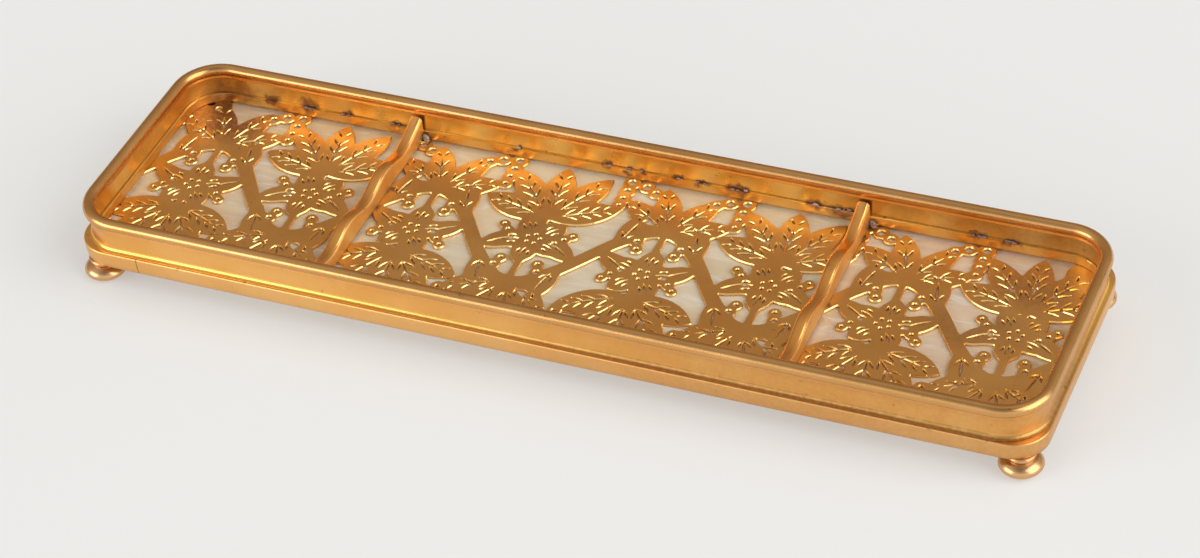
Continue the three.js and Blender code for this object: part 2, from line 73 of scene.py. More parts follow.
# %% [markdown]
# ## Working by hand in a script
# The operators act on whatever is selected, and the loaded nodes come in selected. So each new
# piece is first made the only selected one. Extruding and spinning can leave doubled points where
# a ring closes, and normals that point inwards, so one helper mends both.

# %% Select and close up
def select_only(piece):
    if bpy.context.object and bpy.context.object.mode != "OBJECT":
        bpy.ops.object.mode_set(mode="OBJECT")
    bpy.ops.object.select_all(action="DESELECT")
    if piece:
        piece.select_set(True)
        bpy.context.view_layer.objects.active = piece


def close_up(piece):
    """Merges doubled vertices and turns every face outwards."""
    select_only(piece)
    bpy.ops.object.mode_set(mode="EDIT")
    bpy.ops.mesh.select_all(action="SELECT")
    bpy.ops.mesh.remove_doubles(threshold=0.002 * mm)
    bpy.ops.mesh.normals_make_consistent(inside=False)
    bpy.ops.object.mode_set(mode="OBJECT")


# %% [markdown]
# ## Finishing a piece
# Every new piece ends the same way. Its place goes into its mesh, its flat facets are shaded
# smooth up to an angle, it gets a name and a material, and it is tied to the frame, in place of
# the plain CAD nodes that it stands for. Some faces of it may then get a finish of their own.

# %% Settle and dress a piece
def finish_piece(piece, name, material, slot, *nodes, smooth_angle):
    """Settles a piece at the origin, names it, dresses it and ties it to the frame."""
    select_only(piece)
    bpy.ops.object.transform_apply(location=True, rotation=True, scale=True)
    bpy.ops.object.shade_smooth_by_angle(angle=math.radians(smooth_angle))
    piece.name = piece.data.name = name
    piece.data.materials.clear()
    piece.data.materials.append(material)
    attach(piece, "root")
    if nodes:
        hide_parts(*nodes)
    size = [round(v / mm, 2) for v in piece.dimensions]
    print(name, size, len(piece.data.polygons), "faces")


def dress_faces(piece, material, rule):
    """Gives another finish to the faces for which rule(middle in mm, direction) holds."""
    piece.data.materials.append(material)
    chosen = [face for face in piece.data.polygons if rule(face.center / mm, face.normal)]
    for face in chosen:
        face.material_index = len(piece.data.materials) - 1
    print(material.name, "on", len(chosen), "faces of", piece.name)


# %% [markdown]
# ## Adding nodes from a script
# A finish is a small tree of nodes, and so is the light of the room. By hand, nodes are added,
# set and linked one by one. These helpers do the same in one line each, so that a tree can be
# read from top to bottom. What is fed to a socket may be a number, a colour or another node.

# %% A tree of nodes
class Nodes:
    """Short ways to add, set and link the nodes of a material or a world."""
    def __init__(self, owner):
        owner.use_nodes = True
        self.tree = owner.node_tree

    def feed(self, socket, value):
        if isinstance(value, bpy.types.NodeSocket):
            self.tree.links.new(value, socket)
        else:
            socket.default_value = value

    def node(self, kind, settings=None, **sockets):
        made = self.tree.nodes.new(kind)
        for key, value in (settings or {}).items():
            setattr(made, key, value)
        for key, value in sockets.items():
            self.feed(made.inputs[key.replace("_", " ")], value)
        return made

    def math(self, operation, *values, clamp=False):
        made = self.node("ShaderNodeMath", {"operation": operation, "use_clamp": clamp})
        for socket, value in zip(made.inputs, values):
            self.feed(socket, value)
        return made.outputs[0]

    def vector_math(self, operation, *values):
        made = self.node("ShaderNodeVectorMath", {"operation": operation})
        for socket, value in zip(made.inputs, values):
            self.feed(socket, value)
        gives_number = operation in ("LENGTH", "DOT_PRODUCT")
        return made.outputs["Value" if gives_number else "Vector"]

    def blend(self, share, below, above):
        """The colour above laid over the colour below by a share from 0 to 1."""
        made = self.node("ShaderNodeMix", {"data_type": "RGBA"})
        sockets = made.inputs[0], made.inputs[6], made.inputs[7]
        for socket, value in zip(sockets, (share, below, above)):
            self.feed(socket, (*value, 1) if isinstance(value, tuple) else value)
        return made.outputs[2]

    def ramp(self, value, *stops):
        """A soft colour ramp. Each stop is a place and a grey level or a colour."""
        made = self.node("ShaderNodeValToRGB", Fac=value)
        made.color_ramp.interpolation = "EASE"
        points = made.color_ramp.elements
        while len(points) < len(stops):
            points.new(0.5)
        for point, (place, level) in zip(points, stops):
            point.position = place
            colour = level if isinstance(level, tuple) else (level, level, level)
            point.color = (*colour, 1)
        return made.outputs["Color"]


# %% [markdown]
# ## Building a finish
# A finish is such a tree that ends in one shader. Its patterns read Object coordinates, so they
# stay fixed to the metal from every side. Most of them are noise, either even or stretched one
# way, and a bump turns noise into fine relief without changing the mesh.

# %% A finish and its patterns
class Finish(Nodes):
    def __init__(self, name):
        self.material = bpy.data.materials.new(name)
        super().__init__(self.material)
        self.shader = self.tree.nodes["Principled BSDF"]
        self.place = self.node("ShaderNodeTexCoord").outputs["Object"]

    def stretched(self, scale, turn=0.0):
        """Object coordinates, scaled and turned, for a pattern that runs one way."""
        made = self.node(
            "ShaderNodeMapping", Vector=self.place, Scale=scale, Rotation=(0, 0, turn),
        )
        return made.outputs[0]

    def noise(self, scale, detail=3.0, roughness=0.5, distortion=0.0, vector=None):
        made = self.node(
            "ShaderNodeTexNoise", Vector=vector or self.place, Scale=scale, Detail=detail,
            Roughness=roughness, Distortion=distortion,
        )
        return made.outputs["Fac"]

    def bump(self, height, strength, depth, below=None):
        made = self.node("ShaderNodeBump", Height=height, Strength=strength, Distance=depth * mm)
        if below:
            self.feed(made.inputs["Normal"], below)
        return made.outputs["Normal"]

    def done(self, **sockets):
        for key, value in sockets.items():
            self.feed(self.shader.inputs[key.replace("_", " ")], value)
        print("finish", self.material.name, len(self.tree.nodes), "nodes")
        return self.material


# %% [markdown]
# ## Marks of age and of making, and painted shade
# A dark line runs wherever two parts of the tray meet, and soldering has burnt the gilding in
# ragged blots. Both could be painted by hand. Here a line is a height of the tray and a blot is a
# place with three reaches, so each is one row of numbers and stays where the metal is. The same
# blots also lay painted shade and painted shadows.

# %% Where a mark lies
seam_waver = 0.25
blot_raggedness = 2.6


def height_band(finish, centre, half_width):
    """1 near one height of the tray, in mm, and 0 further than half_width from it."""
    height = finish.node("ShaderNodeSeparateXYZ", Vector=finish.place).outputs["Z"]
    sway = finish.math("SUBTRACT", finish.noise(90), 0.5)
    sway = finish.math("MULTIPLY", sway, 2 * seam_waver * mm)
    height = finish.math("ADD", height, sway)
    away = finish.math("ABSOLUTE", finish.math("SUBTRACT", height, centre * mm))
    away = finish.math("DIVIDE", away, half_width * mm)
    return finish.math("SUBTRACT", 1.0, away, clamp=True)


def ragged_place(finish):
    """Object coordinates, shaken to and fro, for blots with ragged edges."""
    noise = finish.node("ShaderNodeTexNoise", Vector=finish.place, Scale=380, Detail=4.0)
    shift = finish.vector_math("SUBTRACT", noise.outputs["Color"], (0.5, 0.5, 0.5))
    amount = Vector((1, 1, 1)) * 2 * blot_raggedness * mm
    shift = finish.vector_math("MULTIPLY", shift, amount)
    return finish.vector_math("ADD", finish.place, shift)


def blot(finish, place, middle, reach):
    """1 at a middle in mm, falling to 0 at its reach along each of the three axes."""
    away = finish.vector_math("SUBTRACT", place, Vector(middle) * mm)
    away = finish.vector_math("DIVIDE", away, Vector(reach) * mm)
    return finish.math("SUBTRACT", 1.0, finish.vector_math("LENGTH", away), clamp=True)


# %% [markdown]
# ## Laying the marks on
# A mark darkens the gilding and also dulls it, so each function changes the colour and the
# roughness together. Blots that overlap don't add up: the strongest one counts.

# %% Darken seams, stains and painted shade
tarnish = (0.22, 0.10, 0.04)
burn_and_shade_dark = (0.16, 0.065, 0.045)
burn_and_shade_pale = (0.34, 0.15, 0.09)
seam_dulling, burn_and_shade_dulling = 0.25, 0.2
burn_and_shade_fullness = 1.8


def darken_seams(finish, colour, roughness, seams):
    """A seam is a height, a half width and a darkness."""
    for height, half_width, darkness in seams:
        line = finish.math("MULTIPLY", height_band(finish, height, half_width), darkness)
        colour = finish.blend(line, colour, tarnish)
        roughness = finish.math("ADD", roughness, finish.math("MULTIPLY", line, seam_dulling))
    return colour, roughness


def burn_and_shade(finish, colour, roughness, stains_and_shade):
    """Each burn, stain and patch of painted shade is a middle, three reaches and a cover."""
    ragged = ragged_place(finish)
    cover = 0.0
    for middle, reach, most in stains_and_shade:
        shade = blot(finish, ragged, middle, reach)
        shade = finish.math("MULTIPLY", shade, burn_and_shade_fullness * most)
        cover = finish.math("MAXIMUM", cover, finish.math("MINIMUM", shade, most))
    flux_and_shade = finish.ramp(finish.noise(900, detail=3), (0.4, burn_and_shade_dark), (0.62, burn_and_shade_pale))
    colour = finish.blend(cover, colour, flux_and_shade)
    return colour, finish.math("ADD", roughness, finish.math("MULTIPLY", cover, burn_and_shade_dulling))


# %% [markdown]
# ## Gilding
# Fire gilding is a thin layer of gold on bronze. It is satin rather than mirror-like, deeper and
# redder where it has worn thin, and freckled with small brown spots. One function makes all the
# gilt finishes, so that they belong together, and each piece gets its own colours and marks.

# %% The gilt finish
def gilt(name, light, deep, rough, seams=(), stains_and_shade=(), grain=(1, 1, 1), waves=(85, 0.25)):
    """Grain stretches the brushing. Waves are the scale and the strength of slow dents."""
    finish = Finish(name)
    clouds = finish.noise(38, detail=5, roughness=0.6, distortion=0.4)
    colour = finish.blend(finish.ramp(clouds, (0.36, 0.0), (0.66, 1.0)), light, deep)
    mottle = finish.noise(210, detail=4, roughness=0.6)
    colour = finish.blend(finish.ramp(mottle, (0.5, 0.0), (0.8, 0.3)), colour, deep)
    freckles = finish.noise(520, detail=2, roughness=0.4)
    colour = finish.blend(finish.ramp(freckles, (0.71, 0.0), (0.78, 0.4)), colour, tarnish)
    roughness = finish.math("MULTIPLY_ADD", mottle, 0.2, rough - 0.1)
    colour, roughness = darken_seams(finish, colour, roughness, seams)
    if stains_and_shade:
        colour, roughness = burn_and_shade(finish, colour, roughness, stains_and_shade)
    brushing = finish.noise(700, detail=2, vector=finish.stretched(grain))
    normal = finish.bump(brushing, 0.06, 0.04)
    scale, strength = waves
    normal = finish.bump(finish.noise(scale, detail=2), strength, 0.15, below=normal)
    return finish.done(Metallic=1.0, Base_Color=colour, Roughness=roughness, Normal=normal)


# %% [markdown]
# ## The gilding of the rim and the wall
# The wall is one moulding, yet its parts don't look alike. The bead on top is browner, which is
# painted shade for the dim room that its top mirrors. The hollow at the foot is a brighter, deeper
# gold, a painted reflection of the wall above it. The inside is paler, a painted reflection of the
# lit glass and sheet, with burnt spots all along the back where the strip was soldered on. The
# spots are listed, one row for each. The right end of the tray is a little darker all over, which
# is painted shade laid on as one wide, faint blot.

# %% The wall finishes
brushed_along = (0.12, 0.12, 1)
# Each burn is an x, a height and the reaches along and up, in mm.
burns = [
    (-113.5, 13.0, 11.0, 4.2), (-101.8, 12.8, 3.2, 1.6), (-90.6, 13.5, 4.2, 2.3),
    (-80.2, 12.9, 2.0, 1.0), (-65.8, 12.4, 2.8, 1.4), (-32.0, 12.6, 1.5, 0.8),
    (-7.1, 12.7, 2.0, 0.9), (-1.9, 11.2, 2.2, 1.1), (2.4, 12.5, 1.6, 0.9),
    (11.7, 12.5, 1.9, 1.1), (18.1, 12.6, 2.8, 1.4), (27.6, 12.7, 3.9, 2.0),
    (48.3, 12.7, 3.2, 1.8), (55.4, 12.0, 5.4, 2.4), (89.5, 12.6, 3.2, 1.3), (97.5, 12.5, 4.0, 1.3),
]
# All of them lie at the back, where the strip meets the wall.
back_y, back_reach = 32.0, 6.0
wide_burn, wide_cover, small_cover = 9, 0.55, 0.8
back_stains = [
    ((x, back_y, z), (reach, back_reach, rise), small_cover if reach < wide_burn else wide_cover)
    for x, z, reach, rise in burns
]
# The middle of the painted shade that darkens the right end of the wall and the hollow.
right_end_painted_shade = (125, -35, 12)

gilt_wall = gilt(
    "gilt_wall", (0.92, 0.50, 0.15), (0.87, 0.43, 0.11), 0.3, grain=brushed_along,
    seams=[(10.85, 0.25, 0.5)], stains_and_shade=[(right_end_painted_shade, (170, 60, 60), 0.22)],
)
# The hollow's brighter, deeper gold is a painted reflection, and its blot over the right end is
# painted shade.
gilt_cove_painted_light = gilt(
    "gilt_cove_painted_light", (1.0, 0.58, 0.13), (0.94, 0.50, 0.10), 0.22,
    stains_and_shade=[(right_end_painted_shade, (210, 60, 60), 0.6)],
)
# The bead's browner gold is painted shade.
gilt_bead_painted_shade = gilt("gilt_bead_painted_shade", (0.71, 0.38, 0.14), (0.63, 0.33, 0.11), 0.25, grain=brushed_along)
# The inside's paler gold is a painted reflection of the lit glass and sheet.
gilt_inside_painted_light = gilt(
    "gilt_inside_painted_light", (1.0, 0.70, 0.24), (0.98, 0.61, 0.17), 0.3, grain=brushed_along,
    seams=[(17.4, 0.3, 0.5), (12.75, 0.25, 0.7)],
    # Besides the burns, one wide blot of painted shade darkens the back towards the right end.
    stains_and_shade=[*back_stains, ((118, 34, 15), (75, 9, 30), 0.35)],
)

# %% [markdown]
# ## Sweeping a section round the tray
# The wall, the band and the strip inside are mouldings of one section all the way round. They
# could be lofted, but a section that never changes is drawn once and swept: extruded along each
# side and spun round each corner. The section starts as a circle of as many points as it needs,
# each moved to its place.

# %% Sweep a section
longest_step = 12


def arc(centre, radius, first, last, steps):
    """Points on an arc in the section, from one angle in degrees to another."""
    angles = np.radians(np.linspace(first, last, steps + 1))
    across, up = radius if isinstance(radius, tuple) else (radius, radius)
    return [(centre[0] + across * math.cos(a), centre[1] + up * math.sin(a)) for a in angles]


def extrude_along(across, along):
    steps = max(1, round(math.hypot(across, along) / longest_step))
    step = (across / steps * mm, along / steps * mm, 0)
    for _ in range(steps):
        bpy.ops.mesh.extrude_region_move(TRANSFORM_OT_translate={"value": step})


def spin_corner(x, y, steps):
    # With no window the spin turns the other way, so a left turn has a negative angle.
    middle = (x * mm, y * mm, 0)
    bpy.ops.mesh.spin(steps=steps, angle=-math.pi / 2, center=middle, axis=(0, 0, 1))


def sweep_round(section, size, corner_radius, seam_at=None, seam_width=0.0, corner_steps=14):
    """Each section point is an inset from the outer size and a height, both in mm."""
    half_length, half_width = size[0] / 2, size[1] / 2
    bend = (half_length - corner_radius, half_width - corner_radius)
    start = 0.0 if seam_at is None else seam_at + seam_width / 2
    end = start if seam_at is None else seam_at - seam_width / 2
    select_only(None)
    # A filled section keeps its face at both ends, as the band needs. An open one makes a ring.
    fill = "NOTHING" if seam_at is None else "NGON"
    bpy.ops.mesh.primitive_circle_add(vertices=len(section), radius=mm, fill_type=fill)
    piece = bpy.context.object
    for vertex, (inset, height) in zip(piece.data.vertices, section):
        vertex.co = (start * mm, (inset - half_width) * mm, height * mm)
    bpy.ops.object.mode_set(mode="EDIT")
    bpy.ops.mesh.select_all(action="SELECT")
    extrude_along(bend[0] - start, 0)
    spin_corner(bend[0], -bend[1], corner_steps)
    extrude_along(0, 2 * bend[1])
    spin_corner(bend[0], bend[1], corner_steps)
    extrude_along(-2 * bend[0], 0)
    spin_corner(-bend[0], bend[1], corner_steps)
    extrude_along(0, -2 * bend[1])
    spin_corner(-bend[0], -bend[1], corner_steps)
    extrude_along(bend[0] + end, 0)
    close_up(piece)
    return piece


# %% [markdown]
# ## The rim and the wall
# From the top, the moulding has a nearly full-round bead, a fine thread under it outside, a plain
# wall, and a small hollow where the wall meets its flared foot. The section runs up the inside,
# over the bead and down the outside. After the sweep, the bead, the hollow and the inside get
# their own finishes, with painted shade and painted reflections, by the place of each face.

# %% The rim and wall piece
frame_low, frame_high = box_mm("gallery_frame")
tray_size = size_mm("gallery_frame")[:2]
tray_corner = 12.3
frame_bottom = frame_low[2]
bead_radius = 1.6
bead_centre = (bead_radius, frame_high[2] - bead_radius)
wall_outer, wall_inner = 1.3, 2.7
inner_heights = (14.0, 16.9)
bead_root = (wall_inner + 0.18, 17.3)
outer_height = 15.0
thread_top = 17.35
# How far the thread's points stand out from the wall, and their heights above its top.
thread_points = [
    (0.18, 0.32), (0.42, 0.16), (0.46, -0.05), (0.4, -0.26), (0.08, -0.42), (0, -0.6),
]
cove_centre, cove_size = (0.35, 12.45), (0.95, 1.4)
foot_ease = (0.07, 0.25)

rim_section = [
    (wall_inner, frame_bottom), *((wall_inner, height) for height in inner_heights),
    bead_root,
    *arc(bead_centre, bead_radius, -42, 212, 26),
    *((wall_outer - out, thread_top + up) for out, up in thread_points),
    (wall_outer, outer_height),
    *arc(cove_centre, cove_size, 0, -84, 10),
    (cove_centre[0], frame_bottom + foot_ease[1]), (cove_centre[0] + foot_ease[0], frame_bottom),
]
rim = sweep_round(rim_section, tray_size, tray_corner)
finish_piece(rim, "rim_and_wall", gilt_wall, "gilt_bronze", "gallery_frame", smooth_angle=32)

# %% [markdown]
# ## Dressing the parts of the wall
# A face is picked by its height and by how far in from the outer edge of the tray it lies. That
# distance has to bend with the corners, as the wall does.

# %% Dress the bead, the hollow and the inside
def inset_of(place):
    """How far in from the outer edge of the tray a place is, in mm."""
    past = [max(abs(v) - (size / 2 - tray_corner), 0) for v, size in zip(place, tray_size)]
    return tray_corner - math.hypot(*past)


bead_from = thread_top + 0.4
cove_until = 1.25
inside_from = 2.6
dress_faces(rim, gilt_bead_painted_shade, lambda place, out: place.z > bead_from)
dress_faces(
    rim, gilt_cove_painted_light, lambda place, out: place.z < cove_centre[1] and inset_of(place) < cove_until,
)
dress_faces(
    rim, gilt_inside_painted_light, lambda place, out: place.z < thread_top and inset_of(place) > inside_from,
)

# %% [markdown]
# ## The band
# Below the wall a heavier strip goes round the foot of the tray. On the real one it is a flat
# bar, bent round and closed by a butt seam that shows as a fine upright line in the front. The
# same sweep makes it, started on one side of the seam and stopped on the other.

# %% The band piece
gilt_band = gilt(
    "gilt_band", (0.90, 0.51, 0.18), (0.86, 0.45, 0.14), 0.33, grain=brushed_along,
    # The blot over the band's right end is painted shade, as on the wall.
    seams=[(6.05, 0.3, 0.4)], stains_and_shade=[((125, -35, 8), (170, 60, 60), 0.25)],
)
band_low, band_high = box_mm("base_band")
band_bottom, band_top = band_low[2], band_high[2]
band_face, band_back = 0.05, 1.95
band_round = 0.45
# How far the face draws in towards its lower edge, and the heights above that edge.
band_tuck = [(0, 3.2), (0.15, 1.4), (0.3, 0.25), (0.5, 0)]
band_corner = 9.05
band_seam_x, band_seam_width = -106.6, 0.15

band_section = [
    (band_back, band_bottom), (band_back, band_top),
    *arc((band_face + band_round, band_top - band_round), band_round, 90, 180, 6),
    *((band_face + inset, band_bottom + rise) for inset, rise in band_tuck),
]
band = sweep_round(band_section, tray_size, band_corner, band_seam_x, band_seam_width)
finish_piece(band, "foot_band", gilt_band, "gilt_bronze", "base_band", smooth_angle=32)

# %% [markdown]
# ## The holding strip
# A thin upright strip runs round the inside, soldered to the wall, and holds the pierced sheet
# down. Hand-cut, its top edge is not quite true, so after the sweep its top points are nudged a
# little at random, with a fixed seed.

# %% The holding strip piece
gilt_strip = gilt(
    "gilt_strip", (0.95, 0.58, 0.18), (0.88, 0.49, 0.13), 0.34, grain=(0.2, 0.2, 1),
    seams=[(12.7, 0.25, 0.6), (9.95, 0.3, 0.6)], stains_and_shade=back_stains,
)
strip_low, strip_high = box_mm("retaining_strip")
strip_bottom, strip_top = strip_low[2], strip_high[2]
strip_outer, strip_inner = 2.76, 3.24
top_sink, top_ease = 0.03, 0.12
ragged_zone, ragged_most = 0.3, 0.28

strip_section = [
    (strip_outer, strip_bottom), (strip_inner, strip_bottom),
    (strip_inner, strip_top - top_sink - top_ease), (strip_inner - top_ease, strip_top - top_sink),
    (strip_outer, strip_top - top_sink),
]
strip = sweep_round(strip_section, tray_size, tray_corner, corner_steps=10)
dice = np.random.default_rng(7)
for vertex in strip.data.vertices:
    if vertex.co.z > (strip_top - ragged_zone) * mm:
        vertex.co.z -= dice.uniform(0.0, ragged_most) * mm
finish_piece(strip, "holding_strip", gilt_strip, "gilt_bronze", "retaining_strip", smooth_angle=32)

# %% [markdown]
# ## The pierced sheet, first as distances
# The floor is a sheet of gilt brass with an ornament sawn out of it. Holes by the hundred can't be
# cut by hand in edit mode, so this piece is drawn another way. Every point of a fine grid gets its
# distance to the nearest edge of the ornament, negative inside the metal. The board starts with
# the sheet's plain border, which follows its rounded corners.

# %% The drawing board
sheet_length, sheet_width, sheet_thickness = size_mm("pierced_sheet")
sheet_corner = 7.05
border_width = 0.45
board_step = 0.2
far_away = 9.0
columns = round(sheet_length / board_step) + 1
rows = round(sheet_width / board_step) + 1
board_x, board_y = np.meshgrid(
    (np.arange(columns) - (columns - 1) / 2) * board_step,
    (np.arange(rows) - (rows - 1) / 2) * board_step,
)
past_x = np.abs(board_x) - (sheet_length / 2 - sheet_corner)
past_y = np.abs(board_y) - (sheet_width / 2 - sheet_corner)
past_bend = np.hypot(np.maximum(past_x, 0), np.maximum(past_y, 0))
past_side = np.minimum(np.maximum(past_x, past_y), 0)
border = sheet_corner - past_bend - past_side - border_width
metal = border.copy()
holes = np.full_like(metal, far_away)
print("board", columns, "by", rows)

# %% [markdown]
# ## Drawing on the board
# A motif is drawn as metal or as a hole. Two shapes of metal that meet are joined by a soft
# minimum, which rounds the notch between them as a saw and file would. All motifs are made of
# three shapes: a disc, a leaf between two arcs and a rod.

# %% Metal, holes and three shapes
softness = 0.9
drawn_beyond = 2.5


def part_of_board(x, y, reach):
    """The slice of the board within reach of a point, so that each motif is drawn only there."""
    def span(middle, count):
        first = round((middle - reach) / board_step + (count - 1) / 2)
        last = round((middle + reach) / board_step + (count - 1) / 2)
        return slice(max(first, 0), max(last, 0))
    return span(y, rows), span(x, columns)


def lay_metal(distance, x, y, reach):
    where = part_of_board(x, y, reach + drawn_beyond)
    here, there = distance(board_x[where], board_y[where]), metal[where]
    share = np.clip(0.5 + 0.5 * (here - there) / softness, 0, 1)
    metal[where] = here * (1 - share) + there * share - softness * share * (1 - share)


def cut_hole(distance, x, y, reach):
    where = part_of_board(x, y, reach + drawn_beyond)
    holes[where] = np.minimum(holes[where], distance(board_x[where], board_y[where]))


def disc(draw, x, y, radius):
    draw(lambda bx, by: np.hypot(bx - x, by - y) - radius, x, y, radius)


def leaf(draw, x, y, angle, length, width):
    """A pointed leaf between two arcs, from its root at x, y."""
    along, across = math.cos(angle), math.sin(angle)
    mid_x, mid_y = x + along * length / 2, y + across * length / 2
    radius = (length**2 + width**2) / (4 * width)

    def distance(bx, by):
        u = (bx - mid_x) * along + (by - mid_y) * across
        v = np.abs((by - mid_y) * along - (bx - mid_x) * across)
        return np.hypot(u, v + radius - width / 2) - radius
    draw(distance, mid_x, mid_y, length / 2)


def rod(draw, x, low, high, half_width):
    def distance(bx, by):
        return np.hypot(bx - x, by - np.clip(by, low, high)) - half_width
    draw(distance, x, (low + high) / 2, (high - low) / 2 + half_width)


# %% [markdown]
# ## The stem and the corners
# The ornament is a generic one. A stem waves along the tray in eight turns, and a plain rosette
# fills each corner. The stem is a cosine, and dividing by its slope keeps it equally wide.

# %% Draw the stem and the corner rosettes
turns = 8
turn_length = sheet_length / turns
stem_swing = 14.0
stem_half_width = 1.9
phase = math.pi * (board_x / turn_length + (turns - 1) / 2)
slope = stem_swing * math.pi / turn_length * np.sin(phase)
stem = np.abs(board_y - stem_swing * np.cos(phase)) / np.hypot(1, slope) - stem_half_width
lay_metal(lambda bx, by: stem, 0, 0, sheet_length)

rosette_inset, rosette_radius = 5.2, 5.4
for x_sign in (-1, 1):
    for y_sign in (-1, 1):
        x = x_sign * (sheet_length / 2 - rosette_inset)
        y = y_sign * (sheet_width / 2 - rosette_inset)
        disc(lay_metal, x, y, rosette_radius)
print("metal after the stem", round(float((metal < 0).mean()), 3))

# %% [markdown]
# ## Leaves with veins
# A leaf is laid as metal, and its midrib and side veins are sawn out of it as small leaves. Like
# all that grows on a turn, it is drawn from the turn's middle and upside down on every other one.

# %% A veined leaf
midrib_from, midrib_share, midrib_width = 0.2, 0.52, 0.85
vein_from, vein_run = 0.22, 0.5
vein_lean, vein_off, vein_width = 0.55, 0.75, 0.75
vein_reach, vein_most, vein_taper, vein_widest = 0.4, 1.2, 1.3, 0.36


def draw_frond(middle, side, root, angle, size, vein_pairs):
    """A veined leaf of a length and a width, from its root at u and v."""
    u, v = root
    length, width = size

    def out(share, turn=0.0, off=0.0):
        x = u + math.cos(angle) * length * share + math.cos(angle + turn) * off
        y = v + math.sin(angle) * length * share + math.sin(angle + turn) * off
        return middle + x, side * y
    leaf(lay_metal, *out(0), side * angle, length, width)
    leaf(cut_hole, *out(midrib_from), side * angle, length * midrib_share, midrib_width)
    for pair in range(vein_pairs):
        share = vein_from + vein_run * pair / (vein_pairs - 1)
        # The veins are longest where the leaf is widest and shorten to both ends.
        vein_length = width * vein_reach * (vein_most - vein_taper * abs(share - vein_widest))
        for turn in (-vein_lean, vein_lean):
            heading = side * (angle + turn)
            leaf(cut_hole, *out(share, turn, vein_off), heading, vein_length, vein_width)


# %% [markdown]
# ## Blossoms and rings
# A blossom has five petals with three cuts in each and a seed between each two. Small rings hang
# in strings, and each ring is a little smaller than the one before it.

# %% A blossom and strings of rings
blossom_drop = 2.5
blossom_eye = 3.6
petals = 5
petal_size = (9.4, 6.6)
# Each petal cut has a turn, a distance from the eye, a length and a width.
petal_cuts = [(0, 3.4, 3.8, 0.9), (-0.27, 4.4, 2.2, 0.8), (0.27, 4.4, 2.2, 0.8)]
seed_off, seed_radius = 1.75, 0.55
# Each string has a start out and up, a direction, a count of rings and the first ring's radius.
ring_strings = [
    (5.72, -2.24, -0.85, 3, 1.74), (5.75, 9.01, -1.87, 2, 1.81), (11.13, 29.57, -2.65, 2, 2.1),
    (15.375, 30.29, -math.pi / 2, 4, 2.1), (15.375, -30.29, math.pi / 2, 4, 2.1),
]
ring_wall, ring_overlap, ring_taper = 0.95, 0.6, 0.92


def draw_blossom(middle, side, lean):
    eye = -blossom_drop
    disc(lay_metal, middle, side * eye, blossom_eye)
    for petal in range(petals):
        angle = lean + 2 * math.pi * petal / petals
        leaf(lay_metal, middle, side * eye, side * angle, *petal_size)
        for turn, off, length, width in petal_cuts:
            x = middle + math.cos(angle + turn) * off
            y = side * (eye + math.sin(angle + turn) * off)
            leaf(cut_hole, x, y, side * (angle + turn / 2), length, width)
        seed = angle + math.pi / petals
        x = middle + math.cos(seed) * seed_off
        disc(cut_hole, x, side * (eye + math.sin(seed) * seed_off), seed_radius)


def draw_rings(middle, side, flank):
    for u, v, angle, count, radius in ring_strings:
        for _ in range(count):
            disc(lay_metal, middle + flank * u, side * v, radius)
            disc(cut_hole, middle + flank * u, side * v, radius - ring_wall)
            reach = radius * (1 + ring_taper) - ring_overlap
            u, v = u + math.cos(angle) * reach, v + math.sin(angle) * reach
            radius *= ring_taper


# %% [markdown]
# ## What grows on each turn
# Each turn of the stem holds a blossom on a stalk, two fans of leaves, two pairs of side leaves
# and the strings of rings. It is written once and drawn eight times, up and down by turns, and
# each turn leans a little, as in hand work.

# %% Draw the eight turns
turn_leans = [0, 0.12, -0.08, 0.1, -0.1, 0.08, -0.12, 0.05]
# Each leaf of a fan has an angle from the fan's middle and a share of its full length.
inner_fan = [(0, 1), (0.6, 1.07), (-0.6, 1.07), (1.2, 0.92), (-1.2, 0.92)]
outer_fan = [(0.42, 1.02), (-0.42, 1.02), (1.06, 0.97), (-1.06, 0.97)]
inner_leaf, outer_leaf = (20.5, 8.4), (17.2, 7.2)
inner_fan_drop = 10.9
stalk_half_width = 0.9
# Each side leaf has a root out and up, a spread from upright, a size and its pairs of veins.
side_leaves = [((10.15, 5.28), 0.22, (15, 6.4), 2), ((12.76, 3.07), 2.165, (12.5, 6), 0)]

for turn in range(turns):
    middle = (turn - (turns - 1) / 2) * turn_length
    side = 1 if turn % 2 == 0 else -1
    lean = math.pi / 2 + turn_leans[turn]
    draw_blossom(middle, side, lean)
    stalk_ends = sorted((side * stem_swing, -side * inner_fan_drop))
    rod(lay_metal, middle, *stalk_ends, stalk_half_width)
    for angle, share in inner_fan:
        size = (inner_leaf[0] * share, inner_leaf[1])
        draw_frond(middle, side, (0, -inner_fan_drop), angle - lean, size, 4)
    for angle, share in outer_fan:
        size = (outer_leaf[0] * share, outer_leaf[1])
        draw_frond(middle, side, (0, stem_swing), angle + lean, size, 3)
    for flank in (-1, 1):
        for (u, v), spread, size, vein_pairs in side_leaves:
            angle = math.pi / 2 + flank * spread
            draw_frond(middle, side, (flank * u, v), angle, size, vein_pairs)
        draw_rings(middle, side, flank)

# The metal is drawn a little thin, because the bevel of the sheet will add to it.
metal_shift = 0.12
open_distance = np.minimum(np.maximum(metal + metal_shift, -holes), border)
print("metal share of the sheet", round(float((open_distance < 0).mean()), 3))

# %% [markdown]
# ## From distances to outlines
# The outline of a hole is where the distance passes one level. Each small square of the grid
# that it crosses gives a short piece of it, from the edge where it comes in to the edge where it
# goes out, and the pieces chain into loops. Where exactly it crosses an edge is worked out from
# the distances at both ends.

# %% Trace the outlines
trace_level = -0.04
least_share = 0.05


